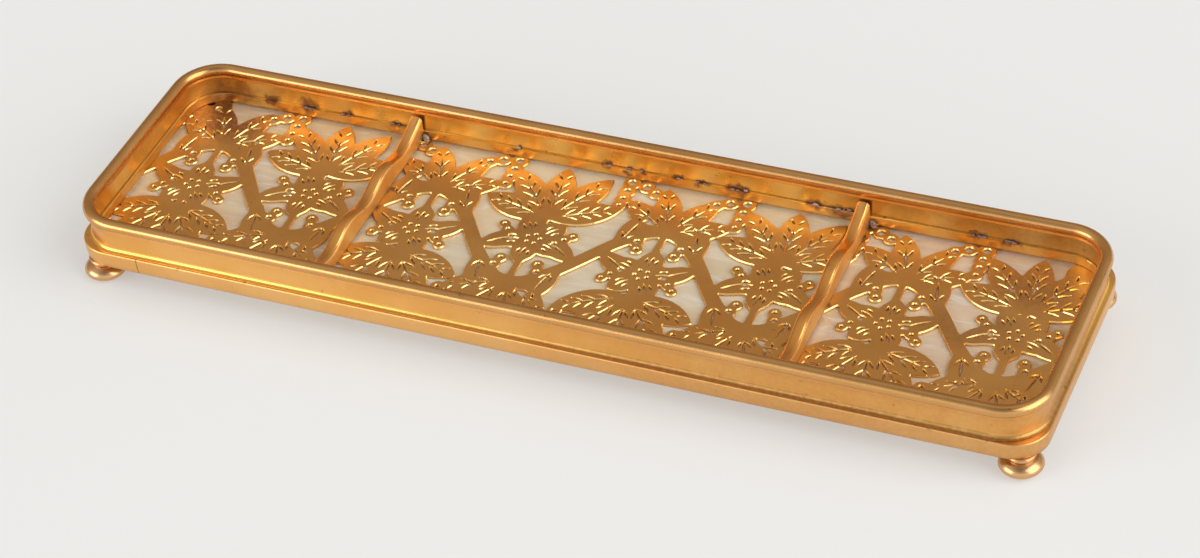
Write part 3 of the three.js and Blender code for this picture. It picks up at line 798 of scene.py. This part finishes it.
def pieces_of_outline(is_open):
    """For every grid edge that an outline crosses, the edge that it crosses next."""
    corners = (is_open[:-1, :-1], is_open[:-1, 1:], is_open[1:, 1:], is_open[1:, :-1])
    mixed = np.logical_or.reduce(corners) & ~np.logical_and.reduce(corners)
    following = {}
    for row, column in np.argwhere(mixed):
        at = int(row) * columns + int(column)
        marks = [bool(is_open.flat[p]) for p in (at, at + 1, at + columns + 1, at + columns)]
        # An edge is named twice its first point, plus one where it runs up the board.
        edges = [2 * at, 2 * (at + 1) + 1, 2 * (at + columns), 2 * at + 1]
        starts = [edges[n] for n in range(4) if marks[n] and not marks[(n + 1) % 4]]
        ends = [edges[n] for n in range(4) if not marks[n] and marks[(n + 1) % 4]]
        if len(starts) == 2 and not marks[0]:
            ends.reverse()
        following.update(zip(starts, ends))
    return following


def trace(level):
    """Closed loops round every hole, in mm, with the hole on the left."""
    value = (open_distance - level).ravel()
    following = pieces_of_outline((value > 0).reshape(rows, columns))
    loops = []
    while following:
        edge = next(iter(following))
        points = []
        while edge in following:
            first, upright = divmod(edge, 2)
            second = first + (columns if upright else 1)
            share = value[first] / (value[first] - value[second])
            share = min(max(share, least_share), 1 - least_share)
            row, column = divmod(first, columns)
            points.append((column + (0 if upright else share), row + (share if upright else 0)))
            edge = following.pop(edge)
        loops.append((np.array(points) - ((columns - 1) / 2, (rows - 1) / 2)) * board_step)
    return loops


outlines = trace(trace_level)
print(len(outlines), "outlines,", sum(map(len, outlines)), "points")

# %% [markdown]
# ## Thinning the outlines
# A loop has a point in every grid square, far more than its shape needs. So the points that
# hardly stand out from the chord between their neighbours are left out: the farthest point is
# kept and splits the stretch in two, and both are looked at again.

# %% Thin a loop
thin_tolerance = 0.04


def thin(points):
    """Keeps only the points that stand out from the chord by more than the tolerance."""
    chord, reach = points[-1] - points[0], points - points[0]
    length = math.hypot(*chord)
    if length:
        away = np.abs(chord[0] * reach[:, 1] - chord[1] * reach[:, 0]) / length
    else:
        away = np.hypot(*reach.T)
    far = int(np.argmax(away))
    if away[far] <= thin_tolerance:
        return [points[0], points[-1]]
    return thin(points[: far + 1])[:-1] + thin(points[far:])


def thin_loop(loop):
    far = int(np.argmax(np.hypot(*(loop - loop[0]).T)))
    back = np.vstack([loop[far:], loop[:1]])
    return np.array(thin(loop[: far + 1])[:-1] + thin(back)[:-1])


# %% [markdown]
# ## Tips that the bevel can take
# The sheet's edges get a bevel that grows outwards from the loops, and at a sharp tip it would
# shoot far out. So needle tips are dropped here, and other sharp tips get a short flat end. Holes
# too small for a saw blade are left out.

# %% Blunt the tips and collect the holes
needle_angle = 0.26
sharp_angle = 1.2
tip_cut, tip_cut_share = 0.2, 0.35
least_hole = 0.25


def drop_needles(loop):
    """Takes away tips so sharp that the bevel would throw them far out."""
    while True:
        before, after = np.roll(loop, 1, axis=0) - loop, np.roll(loop, -1, axis=0) - loop
        lengths = np.hypot(*before.T) * np.hypot(*after.T)
        kept = np.sum(before * after, axis=1) / lengths < math.cos(needle_angle)
        if kept.all() or kept.sum() < 4:
            return loop
        loop = loop[kept]


def blunt(loop):
    """Gives each sharp tip a short flat end."""
    points = []
    for before, point, after in zip(np.roll(loop, 1, axis=0), loop, np.roll(loop, -1, axis=0)):
        arms = before - point, after - point
        lengths = [math.hypot(*arm) for arm in arms]
        if np.dot(*arms) < math.cos(sharp_angle) * lengths[0] * lengths[1]:
            points.append(point)
        else:
            shares = [min(tip_cut / length, tip_cut_share) for length in lengths]
            points += [point + arm * share for arm, share in zip(arms, shares)]
    return np.array(points)


def area(loop):
    x, y = loop.T
    return 0.5 * float(np.sum(x * np.roll(y, -1) - np.roll(x, -1) * y))


hole_loops = [
    blunt(drop_needles(thin_loop(loop))) for loop in outlines if area(loop) > least_hole
]
print(len(hole_loops), "holes,", sum(map(len, hole_loops)), "points")

# %% [markdown]
# ## The sheet itself
# A flat curve with one outer loop and many inner ones fills itself with holes. Its extrusion
# gives the sheet its thickness. Its bevel has one step, so it is a flat slanted edge, and scaling
# the mesh in height makes that edge steep.

# %% The pierced sheet piece
# Painted shadows on the floor along the right side of the two bars, where they don't touch it: x
# and y, in mm.
bar_painted_shadows = [
    (-57.6, 10.3), (-57.6, 2.0),
    (62.8, 26.2), (62.8, 20.3), (62.8, 15.3), (62.8, -1.1), (62.8, -9.2),
]
gilt_sheet = gilt(
    "gilt_sheet", (0.84, 0.46, 0.15), (0.76, 0.38, 0.11), 0.36,
    stains_and_shade=[
        ((-112, 25, 9.9), (18, 12, 4), 0.7), ((97, 3, 9.9), (17, 10, 4), 0.3),
        ((107, 23, 9.9), (15, 14, 4), 0.45), ((-20, 4, 9.9), (20, 8, 4), 0.25),
        *(((x, y, 9.9), (0.9, 1.9, 2.0), 0.8) for x, y in bar_painted_shadows),
    ],
)
edge_bevel = 0.2
edge_steepness = 1.5
sheet_outline = []
for x_sign, y_sign, first in ((1, -1, -90), (1, 1, 0), (-1, 1, 90), (-1, -1, 180)):
    bend = (x_sign * (sheet_length / 2 - sheet_corner), y_sign * (sheet_width / 2 - sheet_corner))
    sheet_outline += arc(bend, sheet_corner - edge_bevel, first, first + 90, 10)

flat = bpy.data.curves.new("pierced_floor", "CURVE")
flat.dimensions = "2D"
flat.fill_mode = "BOTH"
for loop in [np.array(sheet_outline)] + hole_loops:
    line = flat.splines.new("POLY")
    line.points.add(len(loop) - 1)
    places = np.zeros((len(loop), 4))
    places[:, :2] = loop * mm
    places[:, 3] = 1
    line.points.foreach_set("co", places.ravel())
    line.use_cyclic_u = True
flat.extrude = (sheet_thickness / 2 / edge_steepness - edge_bevel) * mm
flat.bevel_depth = edge_bevel * mm
flat.bevel_resolution = 0
sheet = bpy.data.objects.new("pierced_floor", flat)
bpy.context.scene.collection.objects.link(sheet)
select_only(sheet)
bpy.ops.object.convert(target="MESH")
sheet = bpy.context.object
sheet.scale.z = edge_steepness
sheet.location.z = middle_mm("pierced_sheet")[2] * mm
bpy.ops.object.transform_apply(location=True, rotation=True, scale=True)
close_up(sheet)
finish_piece(sheet, "pierced_floor", gilt_sheet, "gilt_sheet", "pierced_sheet", smooth_angle=20)
print(sum(len(face.vertices) - 2 for face in sheet.data.polygons), "triangles")

# %% [markdown]
# ## The sawn edges
# The filed edges of the openings catch the light as thin bright lines along the far side of each.
# They get a paler gilding, a painted highlight that makes those lines brighter, with a strong,
# fine wave in it, which breaks those lines up as on hand-sawn metal.

# %% Dress the sawn edges
gilt_sawn_painted_glint = gilt("gilt_sawn_painted_glint", (0.98, 0.68, 0.28), (0.92, 0.58, 0.2), 0.27, waves=(380, 1.0))
flat_from = 0.9
dress_faces(sheet, gilt_sawn_painted_glint, lambda place, out: abs(out.z) < flat_from)

# %% [markdown]
# ## The wavy bars
# Two bars stand across the tray, filed into three dips along the top so that a pen can rest in
# them. The top is a cosine of three waves, drawn up a little at both ends, where the bar meets
# the wall. The photograph has both bars a hair right of even places, by 0.5 and 0.2 mm.

# %% The shape of a bar
bar_thickness, bar_span = size_mm("divider_left")[:2]
bar_base = box_mm("divider_left")[0][2]
bar_peak, bar_dip, bar_waves = 5.8, 2.05, 3
bar_end_rise, bar_end_reach = 0.9, 4.0
bar_shifts = {"left": 0.5, "right": 0.2}
bar_places = {
    end_name: round(middle_mm("divider_" + end_name)[0] + shift, 3)
    for end_name, shift in bar_shifts.items()
}
print("bars at", bar_places)


def bar_top(y):
    wave = bar_dip * (1 + math.cos(2 * bar_waves * math.pi * y / bar_span)) / 2
    rise = bar_end_rise * max((abs(y) - bar_span / 2) / bar_end_reach + 1, 0) ** 2
    return bar_base + bar_peak - wave + rise


# %% [markdown]
# ## Filing the top of a bar
# Each bar starts as a cube of its size. It is cut into slices, each slice's top is moved down
# into the wave, and the two long top edges are bevelled round. An edge belongs to the long ones
# if both its ends lie on the top and on the same side.

# %% Cut, wave and round a bar
bar_slices = 72
bar_round, bar_round_steps = 1.2, 7
# Points nearer than a hair count as level.
hair = 0.01


def wave_top(bar):
    bpy.ops.object.mode_set(mode="EDIT")
    for slice_number in range(1, bar_slices):
        bpy.ops.mesh.select_all(action="SELECT")
        y = (slice_number / bar_slices - 0.5) * bar_span * mm
        bpy.ops.mesh.bisect(plane_co=(0, y, 0), plane_no=(0, 1, 0))
    bpy.ops.object.mode_set(mode="OBJECT")
    for vertex in bar.data.vertices:
        if vertex.co.z > (bar_base + bar_peak - hair) * mm:
            vertex.co.z = bar_top(vertex.co.y / mm) * mm


def round_top(bar):
    bpy.ops.object.mode_set(mode="EDIT")
    bpy.ops.mesh.select_mode(type="EDGE")
    bpy.ops.mesh.select_all(action="DESELECT")
    bpy.ops.object.mode_set(mode="OBJECT")
    places = [vertex.co.copy() for vertex in bar.data.vertices]
    for edge in bar.data.edges:
        ends = [places[n] for n in edge.vertices]
        at_top = all(end.z > (bar_top(end.y / mm) - 2 * hair) * mm for end in ends)
        lengthwise = ends[0].x * ends[1].x > 0 and abs(ends[0].x - ends[1].x) < hair * mm
        edge.select = at_top and lengthwise
    bpy.ops.object.mode_set(mode="EDIT")
    bpy.ops.mesh.bevel(offset=bar_round * mm, segments=bar_round_steps)
    bpy.ops.object.mode_set(mode="OBJECT")


# %% [markdown]
# ## The bar pieces
# The top is polished by use and mirrors the light, and the sides are duller. Their paler gold is
# a painted reflection of the sheet and glass beside them. Where the top turns into the right side,
# the polish ends a little further down than on the left, so that the highlight on that edge
# breaks into one lens for each wave.

# %% Make and dress the bars
gilt_bar = gilt(
    "gilt_bar", (0.92, 0.45, 0.13), (0.84, 0.38, 0.095), 0.17,
    stains_and_shade=[
        ((60.6, 8.0, 14.0), (3.0, 3.0, 2.0), 0.5), ((-59.8, -11.0, 14.0), (4.0, 4.0, 1.5), 0.25),
    ],
)
# The sides' paler gold is a painted reflection of the sheet and glass beside them.
gilt_bar_side_painted_reflection = gilt(
    "gilt_bar_side_painted_reflection", (0.98, 0.70, 0.31), (0.94, 0.62, 0.24), 0.42, seams=[(10.1, 0.3, 0.5)],
)
side_right_of, side_left_of = 0.75, -0.6
for end_name, x in bar_places.items():
    select_only(None)
    bpy.ops.mesh.primitive_cube_add(
        size=1, location=(x * mm, 0, (bar_base + bar_peak / 2) * mm),
        scale=(bar_thickness * mm, bar_span * mm, bar_peak * mm),
    )
    bar = bpy.context.object
    bpy.ops.object.transform_apply(location=True, rotation=True, scale=True)
    wave_top(bar)
    round_top(bar)
    close_up(bar)
    node = "divider_" + end_name
    finish_piece(bar, "wavy_bar_" + end_name, gilt_bar, "gilt_bronze", node, smooth_angle=50)
    dress_faces(
        bar, gilt_bar_side_painted_reflection, lambda place, out: out.x > side_right_of or out.x < side_left_of,
    )

# %% [markdown]
# ## The bun feet
# The feet are turned: a flat pad, a full round belly, a hollow neck and a thin flange under the
# band. A circle is extruded ring by ring up the foot and each new ring is scaled to its radius,
# which is how a turned shape is usually built by hand.

# %% The foot pieces
gilt_foot = gilt(
    "gilt_foot", (0.76, 0.46, 0.23), (0.66, 0.37, 0.16), 0.26,
    seams=[(4.22, 0.2, 0.5), (0.2, 0.4, 0.5)],
)
foot_facets = 56
# Each ring is a radius and a height.
foot_rings = [
    (2.5, 0.0), (3.0, 0.06), (3.9, 0.42), (4.65, 0.95), (5.15, 1.5), (5.36, 1.95), (5.3, 2.45),
    (5.05, 3.0), (4.65, 3.45), (4.1, 3.85), (3.75, 4.02), (3.45, 4.12), (3.2, 4.25), (3.28, 4.4),
    (3.5, 4.62), (3.62, 4.92), (3.58, 5.22), (3.42, 5.45), (3.3, 5.55), (3.45, 5.62), (3.66, 5.68),
    (3.7, 5.78), (3.7, 5.88), (3.6, 5.95),
]


def turn_foot(x, y):
    select_only(None)
    radius, height = foot_rings[0]
    bpy.ops.mesh.primitive_circle_add(
        vertices=foot_facets, radius=radius * mm, location=(x * mm, y * mm, height * mm),
        fill_type="NGON",
    )
    bpy.ops.object.mode_set(mode="EDIT")
    bpy.ops.mesh.select_all(action="SELECT")
    for next_radius, next_height in foot_rings[1:]:
        rise = (0, 0, (next_height - height) * mm)
        bpy.ops.mesh.extrude_region_move(TRANSFORM_OT_translate={"value": rise})
        grow = next_radius / radius
        middle = (x * mm, y * mm, next_height * mm)
        bpy.ops.transform.resize(value=(grow, grow, 1), center_override=middle)
        radius, height = next_radius, next_height
    bpy.ops.object.mode_set(mode="OBJECT")
    return bpy.context.object


for row_name in ("front", "back"):
    for end_name in ("left", "right"):
        place_name = f"{row_name}_{end_name}"
        foot = turn_foot(*middle_mm("foot_" + place_name)[:2])
        close_up(foot)
        finish_piece(
            foot, "bun_" + place_name, gilt_foot, "gilt_bronze", "foot_" + place_name,
            smooth_angle=60,
        )

# %% [markdown]
# ## Solder
# Soft solder is a dull grey metal with a brownish film and a pitted skin. It is only partly
# metallic here, because the film on it scatters light like paint.

# %% The solder finish
solder_look = Finish("soft_solder")
pits = solder_look.noise(900, detail=4, roughness=0.7)
film = solder_look.ramp(
    solder_look.noise(260, detail=3), (0.35, (0.25, 0.17, 0.15)), (0.7, (0.50, 0.42, 0.39)),
)
solder_grey = solder_look.done(
    Metallic=0.6, Base_Color=film, Roughness=solder_look.ramp(pits, (0.3, 0.45), (0.8, 0.7)),
    Normal=solder_look.bump(pits, 0.5, 0.15),
)

# %% [markdown]
# ## Lumps of solder
# The bars are held by lumps of solder in the corners on their right side. A lump is a small
# round body with an uneven skin. An ico sphere is flattened, its points are shaken with a fixed
# seed and then smoothed, and the lumps of one corner are joined into one piece.

# %% The bar solder pieces
lump_shake = 0.12


def make_lump(x, y, z, size, seed):
    bpy.ops.mesh.primitive_ico_sphere_add(
        subdivisions=3, radius=0.5 * mm, location=(x * mm, y * mm, z * mm), scale=size,
    )
    bpy.ops.object.transform_apply(location=True, rotation=True, scale=True)
    bpy.ops.object.mode_set(mode="EDIT")
    bpy.ops.mesh.select_all(action="SELECT")
    bpy.ops.transform.vertex_random(offset=lump_shake * mm, seed=seed)
    bpy.ops.mesh.vertices_smooth(factor=0.5, repeat=2)
    bpy.ops.object.mode_set(mode="OBJECT")
    return bpy.context.object


def join_lumps(lumps, name, *nodes):
    select_only(lumps[0])
    for lump in lumps:
        lump.select_set(True)
    bpy.ops.object.join()
    finish_piece(bpy.context.object, name, solder_grey, "solder", *nodes, smooth_angle=80)


# Each lump has an offset out from the bar, a distance from the tray's middle, a height and a size.
corner_lumps = [
    (0.85, 31.05, 10.75, (1.9, 1.5, 2.0)), (1.2, 30.6, 10.4, (1.6, 1.4, 1.0)),
    (0.7, 30.9, 11.5, (1.2, 1.2, 1.1)),
]
seed = 11
for end_name, bar_x in bar_places.items():
    for row_name, side in (("front", -1), ("back", 1)):
        lumps = []
        for off, y, z, size in corner_lumps:
            seed += 1
            x = bar_x + bar_thickness / 2 + off
            lumps.append(make_lump(x, side * y, z, size, seed))
        place_name = f"{row_name}_{end_name}"
        join_lumps(lumps, "bar_solder_" + place_name, "solder_" + place_name)

# %% [markdown]
# ## Beads along the back seam
# Small beads of solder sit on the seam where the strip meets the back wall, wherever the gilding
# was burnt. Their places come from the burns, and their sizes and shifts from the same dice as
# the strip's edge. The corner and the burn next to it hold none.

# %% The seam solder piece
seam_y, seam_z = 31.95, 12.55
beads_per_mm = 1.4
bead_shape = (1.3, 0.8, 0.8)
bead_spread, bead_sink, bead_rise, rise_share = 0.55, 0.2, 0.35, 0.5
least_bead, most_bead = 0.45, 0.95
seam_lumps = []
for middle, _, reach, rise in burns[2:]:
    for bead in range(round(reach * beads_per_mm)):
        seed += 1
        x = middle + dice.uniform(-bead_spread, bead_spread) * reach
        z = seam_z + dice.uniform(-bead_sink, bead_rise) * rise * rise_share
        grow = dice.uniform(least_bead, most_bead)
        size = [share * grow for share in bead_shape]
        seam_lumps.append(make_lump(x, seam_y, z, size, seed))
join_lumps(seam_lumps, "seam_solder")

# %% [markdown]
# ## Glass
# Three panes of streaked glass lie under the sheet. They are plain flat panes, so the CAD solids
# stay and get a finish: milky glass with long soft streaks, amber in the left bay, cream in the
# middle and rosy in the right one. A thin coat gives the gloss, and a slight ripple breaks it.

# %% The pane finishes
def dress_node(node, material):
    for material_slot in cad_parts[node].material_slots:
        material_slot.material = material


def streaked_glass(name, milk, streak, glow, turn):
    finish = Finish(name)
    runs = finish.stretched((6, 34, 1), turn)
    wave = finish.noise(1.6, detail=4, roughness=0.6, distortion=1.6, vector=runs)
    colour = finish.blend(finish.ramp(wave, (0.35, 0.0), (0.62, 1.0)), milk, streak)
    cloud = finish.noise(26, detail=3, roughness=0.55, distortion=0.8)
    colour = finish.blend(finish.ramp(cloud, (0.45, 0.0), (0.72, 0.8)), colour, glow)
    fine = finish.noise(5, detail=5, roughness=0.7, distortion=2.2, vector=runs)
    colour = finish.blend(finish.ramp(fine, (0.5, 0.0), (0.72, 0.65)), colour, (0.86, 0.84, 0.80))
    ripple = finish.noise(130, detail=2)
    return finish.done(
        IOR=1.5, Coat_Weight=0.4, Coat_Roughness=0.06, Specular_IOR_Level=0.5,
        Base_Color=colour, Roughness=finish.ramp(ripple, (0.3, 0.12), (0.7, 0.3)),
        Normal=finish.bump(ripple, 0.3, 0.15),
    )


glass_amber = streaked_glass(
    "glass_amber", (0.76, 0.62, 0.44), (0.66, 0.49, 0.32), (0.76, 0.51, 0.28), 0.2,
)
glass_cream = streaked_glass(
    "glass_cream", (0.80, 0.69, 0.52), (0.68, 0.54, 0.35), (0.81, 0.59, 0.35), -0.1,
)
glass_rose = streaked_glass(
    "glass_rose", (0.79, 0.61, 0.44), (0.66, 0.46, 0.34), (0.77, 0.56, 0.34), 0.3,
)
dress_node("glass_left", glass_amber)
dress_node("glass_centre", glass_cream)
dress_node("glass_right", glass_rose)

# %% [markdown]
# ## Plate and screws
# Under the glass, a plate and four screws hold the tray together. They hardly show, so the CAD
# solids stay and get plain brass, made by the same function as the gilding.

# %% The plate and screw finish
plain_brass = gilt("plain_brass", (0.70, 0.46, 0.18), (0.55, 0.33, 0.11), 0.42)
screw_nodes = [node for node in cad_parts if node.startswith("foot_screw")]
for node in ("bottom_plate", *screw_nodes):
    dress_node(node, plain_brass)

# %% [markdown]
# ## The floor
# The tray stands on a plain pale floor. Part of the paper's brightness is its own, but only for
# rays that come from the camera or by way of metal and glass, so that it lights nothing. That
# keeps the shadows as light as they are in a bright studio.

# %% The floor
own_light = 0.42
floor_size = 8.0
bpy.ops.mesh.primitive_plane_add(size=floor_size, location=(0, 0, 0))
floor = bpy.context.object
floor.name = "studio_floor"
floor_look = Finish("studio_floor")
paper = floor_look.noise(3, detail=2)
floor_grey = floor_look.ramp(paper, (0.3, (0.90, 0.915, 0.92)), (0.7, (0.92, 0.935, 0.94)))
rays = floor_look.node("ShaderNodeLightPath").outputs
seen = floor_look.math("MAXIMUM", rays["Is Camera Ray"], rays["Is Glossy Ray"])
seen = floor_look.math("MAXIMUM", seen, rays["Is Transmission Ray"])
glow = floor_look.math("MULTIPLY", seen, own_light)
floor.data.materials.append(floor_look.done(
    Roughness=0.6, Specular_IOR_Level=0.2,
    Base_Color=floor_look.blend(glow, floor_grey, (0, 0, 0)),
    Emission_Color=(0.83, 0.825, 0.805, 1), Emission_Strength=glow,
))

# %% [markdown]
# ## The lamps
# Gilding shows what it mirrors, so the light is what makes it read as gold. One soft box stands
# low at the front left and a taller one at the right, as the two bright spots on each bun foot
# tell. Both face the middle of the tray.

# %% Two soft boxes
def soft_lamp(name, place, size, power):
    """A place and a size in metres, and a power in watts."""
    lamp = bpy.data.lights.new(name, "AREA")
    lamp.shape = "RECTANGLE"
    lamp.size, lamp.size_y = size
    lamp.energy = power
    made = bpy.data.objects.new(name, lamp)
    bpy.context.scene.collection.objects.link(made)
    made.location = place
    made.rotation_euler = (-Vector(place)).to_track_quat("-Z", "Y").to_euler()
    print(name, place, power, "W")


soft_lamp("left_box", (-2.70, -2.70, 1.10), (2.88, 2.02), 57)
soft_lamp("right_box", (3.35, -0.35, 2.11), (3.9, 4.2), 112)

# %% [markdown]
# ## The room
# The room is what the gilding mirrors between the lamps. A picture of a studio could wrap it, but
# two directions are enough. It is brighter in front than behind, where it is also warm, and it
# has a dim patch overhead, which leaves the flat sheet browner than the walls. The camera itself
# sees one even level.

# %% The room
toward_front = (0.17, -0.33, 0.06)
toward_patch = (0.20, -0.49, 0.85)
patch_from, patch_depth = 0.72, 2.3
room_base = 0.65
warm_light = (1.0, 0.82, 0.62)
warmth_slope = 4.0
seen_level = 0.85

room = bpy.data.worlds.new("studio_room")
bpy.context.scene.world = room
room_nodes = Nodes(room)
look = room_nodes.node("ShaderNodeTexCoord").outputs["Generated"]
tilt = room_nodes.vector_math("DOT_PRODUCT", look, toward_front)
overhead = room_nodes.vector_math("DOT_PRODUCT", look, toward_patch)
patch = room_nodes.math("SUBTRACT", overhead, patch_from)
patch = room_nodes.math("MULTIPLY", room_nodes.math("MAXIMUM", patch, 0.0), patch_depth)
room_level = room_nodes.math("SUBTRACT", room_nodes.math("ADD", tilt, room_base), patch)
behind = room_nodes.math("MULTIPLY_ADD", tilt, warmth_slope, 1.0)
rays = room_nodes.node("ShaderNodeLightPath").outputs
brightness = room_nodes.node("ShaderNodeMix")
for number, value in ((0, rays["Is Camera Ray"]), (2, room_level), (3, seen_level)):
    room_nodes.feed(brightness.inputs[number], value)
background = room_nodes.tree.nodes["Background"]
room_nodes.feed(background.inputs["Color"], room_nodes.blend(behind, warm_light, (1, 1, 1)))
room_nodes.feed(background.inputs["Strength"], brightness.outputs[0])
print("room", len(room_nodes.tree.nodes), "nodes")

# %% [markdown]
# ## The camera
# The photograph was taken from the front right, from above, with a long lens and slightly tilted.
# The camera's place and turn were fitted to corners measured in it.

# %% The camera
azimuth, elevation, roll = (math.radians(a) for a in (25.86, 39.74, -5.68))
eye = Vector((278.71, -568.81, 528.97)) * mm
aside, ahead = math.sin(azimuth), -math.cos(azimuth)
back = Vector((aside * math.cos(elevation), ahead * math.cos(elevation), math.sin(elevation)))
level = Vector((0, 0, 1)).cross(back).normalized()
upright = back.cross(level)
right = math.cos(roll) * level + math.sin(roll) * upright
up = math.cos(roll) * upright - math.sin(roll) * level
view = bpy.data.cameras.new("photo_camera")
view.lens = 100.71
view.sensor_width = 36.0
view.clip_start, view.clip_end = 0.05, 20
camera = bpy.data.objects.new("photo_camera", view)
bpy.context.scene.collection.objects.link(camera)
turned = Matrix((right, up, back)).transposed().to_4x4()
camera.matrix_world = Matrix.Translation(eye) @ turned
bpy.context.scene.camera = camera
bpy.context.scene.view_settings.view_transform = "Standard"
print("camera", round(eye.length, 3), "m from the tray")

# %% [markdown]
# ## A last update
# The view layer is brought up to date once more.

# %% Update the view layer
bpy.context.view_layer.update()
